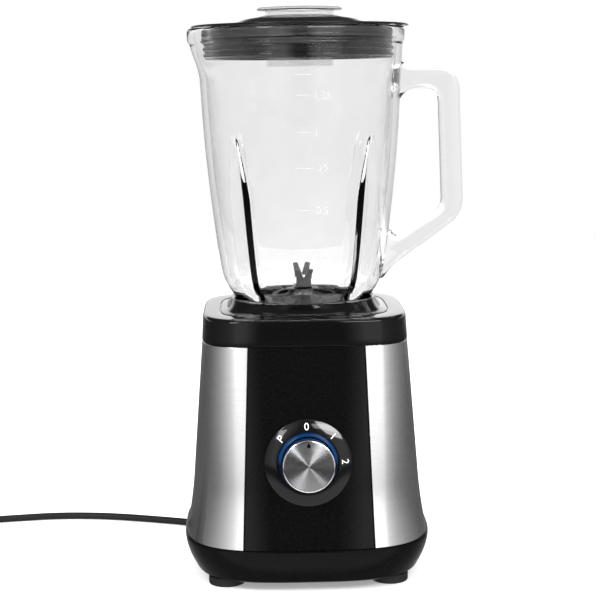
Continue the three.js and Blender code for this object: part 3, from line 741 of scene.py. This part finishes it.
def coil_points():
    """Four turns, two beside each other below and two above, each a cord's width from the last."""
    width = 2 * CORD_R
    outer = COIL_R + CORD_R
    points = []
    start = 97.0
    steps = 16
    for turn in range(3):
        for k in range(steps):
            share = k / steps
            climb = smoothstep(share, 0.75, 1.0)
            quarter = climb * pi / 2
            below = outer - width * climb
            crossing = (below - width * cos(quarter), CORD_Z + width * sin(quarter))
            if turn == 0:
                r, z = below, CORD_Z
            elif turn == 1:
                r, z = crossing
            else:
                r = crossing[0] + width * sin(quarter)
                z = crossing[1] + width * cos(quarter)
                if share < 0.75:
                    r, z = outer - width, CORD_Z + width
            points.append(by_coil(r, start + 360 * share, z))
    return points + [by_coil(outer, degrees, CORD_Z + width) for degrees in (97, 115, 135, 155, 172)]


def make_cord():
    left = COIL_AT[0] - COIL_R - CORD_R
    points = [*CORD_ROUTE, *coil_points(), (left, 60, 7.4), (left, 47, 7.1)]
    data = bpy.data.curves.new("mains_cord", "CURVE")
    data.dimensions = "3D"
    data.bevel_depth = CORD_R * MM
    data.bevel_resolution = 8
    data.resolution_u = 8
    data.use_fill_caps = True
    line = data.splines.new("BEZIER")
    line.bezier_points.add(len(points) - 1)
    for knot, point in zip(line.bezier_points, points):
        knot.co = place(point)
        knot.handle_left_type = knot.handle_right_type = "AUTO"
    data.materials.append(cord_rubber)
    cord = add("mains_cord", data)
    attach(cord, "base")
    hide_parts("cord", "cord_coil")
    bpy.context.view_layer.update()
    pieces = make_plug(left)
    make_tie()


def make_tie():
    """A soft strap round the bundle of turns."""
    half, middle = 5.9, 5.35
    around = 40
    section = crowned(half, 5.0)
    strip = []
    for step in range(around):
        t = TAU * step / around
        level = []
        for across, grow in ((-4, 0), (-4, 0.75), (4, 0.75), (4, 0)):
            reach = section(t) + grow - 0.6
            level.append((COIL_R + reach * cos(t), across, max(middle + reach * sin(t), 0.03)))
        strip.append(level)
    strap = shifted(turned(loft(strip, joined=True), -62), *COIL_AT)
    return piece("cord_tie", strap, "base", rubber, "rubber", soften=0.2)


def make_plug(left):
    """Moulded body with a ribbed tail and two round pins, lying on the floor beside the coil."""
    matrix = Matrix.Translation(place((left, 22, 7.1))) @ Matrix.Rotation(radians(90), 4, "X")

    power = 2.6

    def outline(z, wide, high):
        def reach(t):
            return (abs(cos(t) / wide) ** power + abs(sin(t) / high) ** power) ** (-1 / power)

        return ring(z, reach, 48)

    levels = [(-27, 2.9, 2.9), (-26.4, 3.3, 3.3)]
    for rib in range(4):
        low = -26 + rib * 3.2
        size = 3.6 + 0.35 * rib
        levels += [(low, size, size), (low + 1.9, size, size)]
        levels += [(low + 2.2, 3.2, 3.2), (low + 2.9, 3.2, 3.2)]
    levels += [(-12.8, 4.6, 4.6), (-8, 6.2, 5.4), (-4, 8, 6.3), (4, 11.4, 6.8), (10, 12.4, 7)]
    levels += [(20, 12.4, 7), (20.6, 11.8, 6.6), (21, 11.9, 6.6), (23.4, 12.2, 6.8), (24, 11.6, 6.2)]
    shape = loft([outline(*level) for level in levels])
    body = piece("plug_body", shape, "base", cord_rubber, "rubber", ["plug"], matrix, crease=50)
    pin = [(0, 23), (2.35, 23), (2.35, 24.6), (2, 25.4), (2, 41.9), (0, 41.9)]
    pin = lathe(rounded(pin, [0, 0, 0.4, 0.4, 1.2, 0]), 32)
    pins = together(shifted(pin, -9.5, 0), shifted(pin, 9.5, 0))
    return [body, piece("plug_pins", pins, "base", polished, "polished_steel", matrix=matrix)]


# ---------------------------------------------------------------- base
def body_half(z):
    down = STEEL_TOP - z
    bend = max(0.0, (down - FLARE_FROM) / (STEEL_TOP - STEEL_LOW - FLARE_FROM))
    return TOP_HALF + TAPER * down + FLARE * bend**2


def body_power(z):
    return mix(3.4, 4.6, min(max((z - STEEL_LOW) / (STEEL_TOP - STEEL_LOW), 0), 1))


def panel_half(z):
    return mix(PANEL_LOW_HALF, PANEL_TOP_HALF, (z - STEEL_LOW) / (STEEL_TOP - STEEL_LOW))


def skin(front, margin, count):
    """The front panel, or the steel that wraps the rest, as a sheet with two faces."""
    levels = []
    for i in range(45):
        z = mix(STEEL_LOW, STEEL_TOP, i / 44)
        level = []
        for half in (body_half(z), body_half(z) - SHEET):
            power = body_power(z)
            x = panel_half(z) + margin
            away = atan2(x, half * (1 - (x / half) ** power) ** (1 / power))
            start = -pi / 2 - away if front else -pi / 2 + away
            stop = -pi / 2 + away if front else 1.5 * pi - away
            radius = crowned(half, power)
            angles = [mix(start, stop, k / (count - 1)) for k in range(count)]
            side = [(radius(t) * cos(t), radius(t) * sin(t), z) for t in angles]
            level += side if half == body_half(z) else side[::-1]
        levels.append(level)
    return loft(levels)


def make_skins():
    wrap, panel = skin(False, SEAM, 240), skin(True, -SEAM, 80)
    piece("steel_skin", wrap, "base", steel, "brushed_steel", ["steel_wrap"], soften=0.25)
    piece("panel_skin", panel, "base", panel_black, "black_gloss", ["front_panel"], soften=0.25)


def tray_half(z):
    up = min(max((z - TRAY_LOW) / (TRAY_LIP - TRAY_LOW), 0), 1)
    return mix(TRAY_LOW_HALF, TRAY_LIP_HALF, sin(up * pi / 2))


def make_tray():
    rises = [mix(TRAY_LOW + 1.2, TRAY_LIP, i / 18) for i in range(19)]
    outside = [(tray_half(z), z) for z in rises]
    inside = [(tray_half(z) - TRAY_WALL, z) for z in reversed(rises) if z > TRAY_FLOOR + 1]
    profile = [(TRAY_LOW_HALF - 1.6, TRAY_LOW), *outside, *inside, (TRAY_LOW_HALF - 3, TRAY_FLOOR)]
    profile = rounded(profile, 0.7, 3, closed=False)
    shape = loft([ring(z, crowned(half, TRAY_POWER), 200) for half, z in profile])
    for x in (-24, -12, 0, 12, 24):
        slit = crowned(1, 6)
        levels = [[(x + 2.5 * p[0], 20 * p[1], z) for p in ring(z, slit, 40)] for z in (5, 10)]
        shape = combine(shape, loft(levels), "DIFFERENCE")
    for x in (-FOOT_X, FOOT_X):
        for y in (-FOOT_Y, FOOT_Y):
            shape = combine(shape, rod(2.4, 5, 10, (x, y)), "DIFFERENCE")
    hole = moved(rod(6, 60, 90), lambda p: (CORD_X + p[0], p[2], CORD_EXIT_Z - p[1]))
    shape = combine(shape, hole, "DIFFERENCE")
    piece("tray_shell", shape, "base", tray_black, "matte_black", ["bottom_tray"])


def make_feet():
    outline = [(5, 0), (FOOT_R, 0), (FOOT_R, 5.7), (2.4, 5.7), (2.4, 3.2), (5, 3.2)]
    profile = rounded(outline, [0.4, 1.3, 0.4, 0, 0, 0])
    for side, y in (("front", -FOOT_Y), ("back", FOOT_Y)):
        for hand, x in (("left", -FOOT_X), ("right", FOOT_X)):
            foot = shifted(lathe(profile, 64), x, y)
            piece(f"rubber_foot_{side}_{hand}", foot, "base", rubber, "rubber", [f"foot_{side}_{hand}"])


def make_cover():
    """Gloss cover: skirt, deck with a fine groove, concave pedestal and the round well."""
    under = WELL_FLOOR - 2.8
    outline = [
        (64.3, COVER_LOW, 4.6, 0.3), (67.1, COVER_LOW, 4.6, 0.4), (66.2, 174.8, 4.5, 2.4),
        (55.6, 174.9, 3.9, 0.15), (55.3, 174.0, 3.9, 0.15), (54.8, 174.0, 3.9, 0.15),
        (54.5, 175.0, 3.9, 0.2), (50.2, 175.6, 3.4, 1.6), (48.4, 179, 2.8, 1.6),
        (47.6, 182, 2.3, 0.7), (46.8, RIM_Z, 2, 0.3), (45.4, 180.4, 2, 0.6),
        (WELL_R, WELL_FLOOR, 2, 1.2), (8.5, WELL_FLOOR, 2, 0.4), (8.5, under, 2, 0),
        (WELL_R + 2.8, under, 2, 1), (WELL_R + 3.4, 170.6, 2, 0), (58, 171.4, 4, 0),
        (63.6, 168.5, 4.5, 0),
    ]
    levels = [ring(z, crowned(half, power), 240) for half, z, power in eased(outline, 5)]
    shape = loft(levels, joined=True)
    t = radians(PLUNGER_ANGLE)
    hole = rod(2.2, under - 1, WELL_FLOOR + 1, (PLUNGER_R * cos(t), PLUNGER_R * sin(t)))
    shape = combine(shape, hole, "DIFFERENCE")
    piece("cover_shell", shape, "base", gloss_black, "black_gloss", ["top_cover"])


# ---------------------------------------------------------------- dial
LEAN = atan(TAPER)
PANEL_POINT = place((0, -body_half(DIAL_Z), DIAL_Z))
ON_DIAL = Matrix.Translation(PANEL_POINT) @ Matrix.Rotation(pi / 2 - LEAN, 4, "X")
LABEL_R = 23.4
LABEL_HEIGHT = 4.5
LETTER_THICK = 0.2
LABEL_TURN = -2.0
POINTER_AT = 13.2

# Each lamp's name, the pieces it lights, the side and slope that mirror it to the camera in degrees,
# its size in metres and its power in watts.
DIAL_LIGHT_AWAY = 0.8
KNOB = ("knob_face", "knob_body")
DIAL_LIGHTS = [
    ("streak", KNOB, 131, 8, 0.016, 0.6),
    ("fan", KNOB, 56, 7, 0.1, 0.8),
    ("low_fan", KNOB, 268, 8, 0.26, 0.9),
    ("bezel_right", ("bezel_ring",), 58, 23, 0.36, 10.0),
    ("bezel_left", ("bezel_ring",), 132, 22, 0.16, 1.3),
]


def bezel_rise(r):
    """Height of the bezel's crowned face at a radius; it falls away towards the rim."""
    return mix(3.3, 0.9, ((r - RING_R) / (BEZEL_R - RING_R)) ** 1.7)


def lettering(text, height):
    """Flat letters of that height as a thin solid, centred on the origin."""
    data = bpy.data.curves.new("letters", "FONT")
    data.body = text
    data.extrude = 0.02
    data.resolution_u = 6
    helper = add("letters", data)
    bpy.context.view_layer.update()
    mesh = helper.evaluated_get(bpy.context.evaluated_depsgraph_get()).to_mesh()
    points = [Vector(v.co) for v in mesh.vertices]
    faces = [tuple(p.vertices) for p in mesh.polygons]
    bpy.data.objects.remove(helper)
    low = [min(p[i] for p in points) for i in range(2)]
    high = [max(p[i] for p in points) for i in range(2)]
    scale = height / (high[1] - low[1])
    middle = [(a + b) / 2 for a, b in zip(low, high)]
    flat = [((p.x - middle[0]) * scale, (p.y - middle[1]) * scale) for p in points]
    return [(x, y, LETTER_THICK if p.z > 0 else 0.0) for (x, y), p in zip(flat, points)], faces


def make_labels():
    for text, clockwise in (("P", -45), ("0", 0), ("1", 45), ("2", 90)):
        t = radians(clockwise + LABEL_TURN)

        def on_bezel(p, t=t):
            reach = LABEL_R + p[1]
            x = reach * sin(t) + p[0] * cos(t)
            y = reach * cos(t) - p[0] * sin(t)
            return (x, y, bezel_rise(hypot(x, y)) + 0.02 + p[2])

        shape = moved(lettering(text, LABEL_HEIGHT), on_bezel)
        piece(f"dial_label_{text}", shape, "base", white_print, "black_gloss", matrix=ON_DIAL)


def make_dial():
    bezel = [
        (22.5, -1.3, 0),
        (25.6, -1.3, 0),
        (25.6, 0.3, 0),
        (BEZEL_R, 0.3, 0.1),
        (BEZEL_R, bezel_rise(BEZEL_R), 0.3),
        *((r, bezel_rise(r), 0) for r in (27, 26, 25, 24, 23, 22, 21, 20.2)),
        (RING_R + 0.3, bezel_rise(RING_R + 0.3), 0.4),
        (RING_R + 0.3, -0.5, 0),
        (22.5, -0.5, 0),
    ]
    bezel = lathe(eased(bezel, 5), 192)
    piece("bezel_ring", bezel, "base", gloss_black, "black_gloss", ["dial_bezel"], ON_DIAL)
    glow = rounded([(16.75, -3.4), (RING_R, -3.4), (RING_R, 1.8), (16.75, 1.2)], [0, 0, 0.3, 0.3])
    piece("glow_ring", lathe(glow, 160), "base", blue_light, "lit_ring", ["light_ring"], ON_DIAL)

    knob = [
        (0, 12, 0), (3.3, 12, 0), (3.3, 1.3, 0), (KNOB_R, 1.3, 0.4), (KNOB_R, KNOB_FACE - 0.8, 0.1),
        (15.85, KNOB_FACE - 0.48, 0), (15.75, KNOB_FACE - 0.48, 0), (15.75, KNOB_FACE - 1.6, 0),
        (0, KNOB_FACE - 1.6, 0),
    ]
    knob = lathe(eased(knob), 192)
    piece("knob_body", knob, "dial_knob", polished, "polished_steel", ["knob"], ON_DIAL)
    low = KNOB_FACE - 1.3
    face = [(0, low), (15.65, low), (15.65, KNOB_FACE - 0.4), (15.4, KNOB_FACE - 0.2), (0, KNOB_FACE)]
    face = lathe(rounded(face, [0, 0, 0.1, 0.4, 0]), 192)
    piece("knob_face", face, "dial_knob", knob_face_metal, "brushed_steel", ["knob_cap"], ON_DIAL)
    mark = [(0, 1.9), (-1.2, -0.1), (-0.65, -1.4), (0.65, -1.4), (1.2, -0.1)]
    levels = [[(x, y + POINTER_AT, z) for x, y in mark] for z in (KNOB_FACE - 0.9, KNOB_FACE - 0.12)]
    piece("knob_pointer", loft(levels), "dial_knob", tray_black, "matte_black", matrix=ON_DIAL)


def light_dial():
    """Small softboxes that only the dial's pieces catch, placed where a tilted face mirrors them."""
    middle = ON_DIAL.translation
    eye = (scene.camera.location - middle).normalized()
    turn = ON_DIAL.to_3x3()
    for name, receivers, side, slope, size, power in DIAL_LIGHTS:
        side, slope = radians(side), radians(slope)
        across = Vector((cos(side), sin(side), 0)) * sin(slope)
        normal = turn @ (across + Vector((0, 0, cos(slope))))
        mirrored = 2 * normal.dot(eye) * normal - eye
        light = area_light(name, middle + mirrored * DIAL_LIGHT_AWAY, middle, size, power)
        group = bpy.data.collections.new(name)
        for receiver in receivers:
            group.objects.link(bpy.data.objects[receiver])
        light.light_linking.receiver_collection = group


# ---------------------------------------------------------------- jug
JUG_CURVE = spline(JUG_SIDE, 10)


def jug_radius(z):
    for (low_r, low_z), (high_r, high_z) in zip(JUG_CURVE, JUG_CURVE[1:]):
        if low_z <= z <= high_z:
            return mix(low_r, high_r, (z - low_z) / (high_z - low_z))
    return JUG_CURVE[-1][0]


def spout_reach(t, z):
    away = abs((t % TAU) - pi) / radians(SPOUT_HALF_ANGLE)
    if away >= 1:
        return 0.0
    return SPOUT * smoothstep(z, SPOUT_FROM, 352) * cos(away * pi / 2) ** 2


def rib_reach(t, z):
    """Four ribs inside the jug, which narrow to a point at their tops."""
    quarter = TAU / 4
    narrow = mix(1.0, 0.25, smoothstep(z, RIB_TOP - 45, RIB_TOP))
    away = abs(t % quarter - quarter / 2) / radians(RIB_HALF_ANGLE * narrow)
    if away >= 1 or z >= RIB_TOP:
        return 0.0
    return RIB_DEPTH * (1 - away**1.5) * (1 - smoothstep(z, RIB_TOP - 12, RIB_TOP))


def corner_reach(t, z):
    """How much thinner the foot of the wall is at the sides than at the front and the back."""
    side = smoothstep(abs(cos(t)), 0.66, 0.76)
    return 2.8 * side * smoothstep(z, 179, 182) * (1 - smoothstep(z, 185, 193))


# Corners of the handle's loop, each with the middle, end and steps of the curve that may follow it.
HANDLE_LOOP = [
    [(58, 336.5)],
    [(66, 335.6), (70, 332.6), (76, 332.5)],
    [(90, 332.3), (103.6, 332), (104.2, 318), 16],
    [(106.4, 246), (106.4, 235.5), (98, 229), 16],
    [(66, 205.6), (57, 199), (53.4, 193)],
    [(48, 193)],
    [(50, 226)],
    [(59, 224.6), (61, 219.6), (65, 221.6)],
    [(88, 236), (92.9, 239.2), (92.7, 246)],
    [(90.9, 308), (90.6, 317.6), (82, 317.7)],
    [(76, 317.8), (69, 317.8), (65, 311)],
    [(58, 311)],
]


def handle_solid():
    """The handle's loop seen from the front, with rounded edges; its ends run into the jug."""
    loop = []
    for corner, *curve in HANDLE_LOOP:
        loop.append(corner)
        if curve:
            curve_to(loop, *curve)
    loop = loop[::-1]
    inward = []
    for i, here in enumerate(loop):
        ahead = (Vector(loop[(i + 1) % len(loop)]) - Vector(loop[i - 1])).normalized()
        inward.append((-ahead.y, ahead.x))
    round_r = 3.2
    levels = []
    for side in (-1, 1):
        for k in range(7):
            t = pi / 2 * (k / 6 if side < 0 else 1 - k / 6)
            inset = round_r * (1 - sin(t))
            y = side * (HANDLE_WIDTH / 2 - round_r * (1 - cos(t)))
            levels.append([(x + inset * n[0], y, z + inset * n[1]) for (x, z), n in zip(loop, inward)])
    return loft(levels)


def make_jug():
    foot = [(NECK_R, NECK_LOW), (NECK_R, 178.2), (41.6, 178.5)]
    rim = [(68.3, 350), (68.4, 356.6), (67.6, GLASS_TOP), (64.6, GLASS_TOP)]
    outside = rounded([*foot, *JUG_CURVE, *rim], 1.0, 3, closed=False)
    solid = loft([ring(z, lambda t, r=r, z=z: r + spout_reach(t, z), 256) for r, z in outside])
    solid = combine(solid, handle_solid(), "UNION")
    wall = [(r - GLASS_WALL, z) for r, z in JUG_CURVE if z > 192]
    hollow = [(NECK_BORE, NECK_LOW - 5), (NECK_BORE, 179), (38.6, 182.6), (44.5, 188.6), *wall]
    hollow += [(63.4, 352), (64.4, GLASS_TOP - 1), (66, GLASS_TOP + 2)]
    hollow = rounded(hollow, 1.0, 3, closed=False)

    def inner(r, z):
        def reach(t):
            rib = rib_reach(t, z) if z > 186 else 0
            return r + spout_reach(t, z) + corner_reach(t, z) - rib

        return ring(z, reach, 360)

    solid = combine(solid, loft([inner(r, z) for r, z in hollow]), "DIFFERENCE")
    piece("jug_and_handle", solid, "jug", glass, "glass", ["glass_jug", "glass_handle"], crease=40)


def on_jug(p):
    """Wraps flat artwork, centred on the front, onto the outside of the glass."""
    radius = jug_radius(p[1])
    t = p[0] / radius - pi / 2
    reach = radius + p[2]
    return (reach * cos(t), reach * sin(t), p[1])


def make_marks():
    """Graduation lines and their numerals, faint on the glass."""
    marks = [(212.3, ".25"), (243.1, "0.5"), (269.6, ".75"), (291.8, "1"), (314.7, "1.25"), (327.4, "")]
    stroke = [(-0.35, 0), (0.35, 0), (0.2, 0.16), (-0.2, 0.16)]
    steps = 12
    xs = [mix(-5, 5, i / steps) for i in range(steps + 1)]
    shapes = []
    for z, text in marks:
        levels = [[(x, z + up, out) for up, out in stroke] for x in xs]
        shapes.append(moved(loft(levels), on_jug))
        if text:
            letters = lettering(text, 4.6)
            right = 7.5 + max(p[0] for p in letters[0])
            beside = moved(letters, lambda p, z=z, x=right: (p[0] + x, p[1] + z, 2 * p[2] + 0.01))
            shapes.append(moved(beside, on_jug))
    piece("graduation_marks", together(*shapes), "jug", mark_print, "glass")


def make_jug_foot():
    collar = [
        (40.6, 147), (44.6, 147), (44.6, 177.5), (37.6, 177.5), (37.6, 164.3), (24, 164.3),
        (24, 161), (40.6, 161),
    ]
    collar = lathe(rounded(collar, [0.5, 0.8, 1.0, 0.4, 0, 0.4, 0.4, 0.5]))
    piece("collar_ring", collar, "jug", gloss_black, "black_gloss", ["jug_collar"])
    carrier = [
        (5.4, 162.2), (9, 162.2), (9, 175.5), (27.5, 170.5), (27.5, 164.6), (37.2, 164.6),
        (37.2, 166.9), (31.6, 166.9), (31.6, 171.6), (27, 173.6), (20, 175), (12, 178.5),
        (9.5, 181), (8.8, 185.2), (5.4, 185.2),
    ]
    cuts = [0, 0, 0, 0, 0, 0.3, 0.3, 0.3, 1.6, 1.5, 3, 1.5, 1, 0.4, 0.2]
    carrier = lathe(rounded(carrier, cuts))
    piece("jug_floor", carrier, "jug", cast_steel, "brushed_steel", ["blade_carrier"])
    seal = lathe(rounded([(32.4, 167.2), (36.8, 167.2), (36.8, 169.3), (32.4, 169.3)], 0.5))
    piece("neck_seal", seal, "jug", rubber, "rubber", ["jug_seal"])


def blade_solid(stations, angle, notched):
    """Two-armed blade, bent along its length, with ground edges; its tips can have a V notch."""
    arm = spline(stations, 6)
    arms = [*((-s, z, w) for s, z, w in reversed(arm)), *arm]
    t = BLADE_THICK
    levels = []
    for s, z, w in arms:
        half, ground = w / 2, min(w / 2 - 0.4, 1.8)
        edge = [(-half, 0.35 * t), (-half + ground, 0), (half - ground, 0), (half, 0.35 * t)]
        edge += [(half, 0.6 * t), (half - ground, t), (-half + ground, t), (-half, 0.6 * t)]
        levels.append([(s, across, z + up) for across, up in edge])
    shape = combine(loft(levels), rod(4.2, 150, 230), "DIFFERENCE")
    if notched:
        reach, high = stations[-1][0], stations[-1][1]
        for side in (-1, 1):
            corners = [(reach - 5, 0), (reach + 3, -4.2), (reach + 3, 4.2)]
            prism = [[(side * x, side * y, z) for x, y in corners] for z in (high - 14, high + 10)]
            shape = combine(shape, loft(prism), "DIFFERENCE")
    return turned(shape, angle)


def make_blades():
    low, high = BLADE_LOW, BLADE_LOW + BLADE_THICK + 0.3
    lower = [(9.5, low, 13), (13, low - 2, 10), (20, low - 7.6, 7), (23, low - 9.6, 3)]
    upper = [(8.5, high, 12), (11, high + 1.8, 10), (16, high + 7.4, 10), (19.6, high + 12.4, 12)]
    look = (blade_steel, "polished_steel")
    lower = blade_solid(lower, LOWER_ANGLE, False)
    upper = blade_solid(upper, UPPER_ANGLE, True)
    piece("blade_low", lower, "blade_set", *look, ["lower_blade"], soften=0.12)
    piece("blade_high", upper, "blade_set", *look, ["upper_blade"], soften=0.12)
    nut_low = high + BLADE_THICK + 0.3
    domed = [(0, 6.9), (3.4, 7), (4.4, 6.2), (5.2, 4.4), (5.9, 2.2)]
    nut = turned(loft([ring(nut_low + z, r, 6) for z, r in domed]), 14)
    nut = combine(nut, rod(4.2, nut_low - 1, nut_low + 3.4), "DIFFERENCE")
    piece("nut_cap", nut, "blade_set", polished, "polished_steel", ["blade_nut"], soften=0.4)


# ---------------------------------------------------------------- lid
def make_lid():
    sleeve = CAP_WALL_R + 0.5
    outline = [
        (sleeve, 348, 0.3), (sleeve, 365.6, 0.3), (sleeve + 2.4, 365.6, 0.8), (37, 363.9, 4.0),
        (49.5, 359.8, 1.5), (LID_R, LID_TOP, 0.9), (LID_R, 358.3, 0.4), (61, 358.3, 0.5),
        (SKIRT_R, 356.8, 0.5), (SKIRT_R, SKIRT_LOW, 0.8), (SKIRT_R - 2.5, SKIRT_LOW, 0.8),
        (SKIRT_R - 2.5, 357, 1.0), (46.6, 357.2, 1.0), (sleeve + 2.6, 362.2, 0.8),
        (sleeve + 2.6, 348, 0.8),
    ]
    piece("lid_shell", lathe(eased(outline, 5), 192), "lid", gloss_black, "black_gloss", ["lid"])

    inside = SKIRT_R + 0.3
    gasket = [(inside, SKIRT_LOW), (60, SKIRT_LOW)]
    for z in (340.2, 344.4, 348.6, 352.4):
        gasket += [(60, z - 1.6), (61.2, z - 1.0), (61.3, z + 0.2), (61.0, z + 0.9), (60, z + 1.6)]
    gasket += [(60, 354.6), (inside, 354.6)]
    gasket = lathe(rounded(gasket, 0.35, 3), 192)
    piece("gasket_ring", gasket, "lid", gasket_rubber, "rubber", ["lid_gasket"])

    wall = CAP_WALL_R - 0.8
    cap = [
        (0, CAP_TOP, 0), (CAP_R, CAP_TOP, 0.6), (CAP_R, CAP_TOP - 1.5, 0.5),
        (wall, CAP_TOP - 1.9, 0.3), (wall, CAP_TOP - 2.4, 0), (wall - 1.3, CAP_TOP - 2.4, 0),
        (wall - 1.3, CAP_TOP - 1.6, 0.3), (0, CAP_TOP - 1.6, 0),
    ]
    cap = lathe(eased(cap, 5), 192)
    piece("clear_cap", cap, "measuring_cap", clear_plastic, "clear_plastic", ["measuring_cap"])
    top, slant = CAP_TOP - 2.4, 0.6
    cup = [(wall, top), (wall - slant, CAP_LOW), (wall - slant - 1.3, CAP_LOW), (wall - 1.3, top)]
    cup = lathe(rounded(cup, [0, 0.5, 0.5, 0]), 192)
    piece("cap_cup", cup, "measuring_cap", thin_plastic, "clear_plastic")


def make_relief():
    """Tapered boot with rings round it, where the cord leaves the tray."""
    profile = [(3.1, 69), (7.5, 69), (7.5, 72.2), (5.6, 72.2)]
    profile += [(5.6, 81), (7.4, 81.2), (7.4, 83.2), (5.6, 84)]
    for rib in range(6):
        start = 85.2 + rib * 3.05
        size = mix(5.6, 4.1, rib / 5)
        profile += [(size, start), (size, start + 1.7)]
        profile += [(size - 1.0, start + 1.9), (size - 1.0, start + 2.9)]
    profile += [(3.9, RELIEF_END), (3.1, RELIEF_END)]
    shape = lathe(rounded(profile, 0.35, 3), 64)
    shape = moved(shape, lambda p: (CORD_X + p[0], p[2], CORD_EXIT_Z - p[1]))
    piece("cord_boot", shape, "base", cord_rubber, "rubber", ["strain_relief"])


make_camera()
make_cord()
make_relief()
dress_frame()
make_skins()
make_tray()
make_feet()
make_cover()
make_dial()
make_labels()
make_jug()
make_marks()
make_jug_foot()
make_blades()
make_lid()
make_studio()
light_dial()
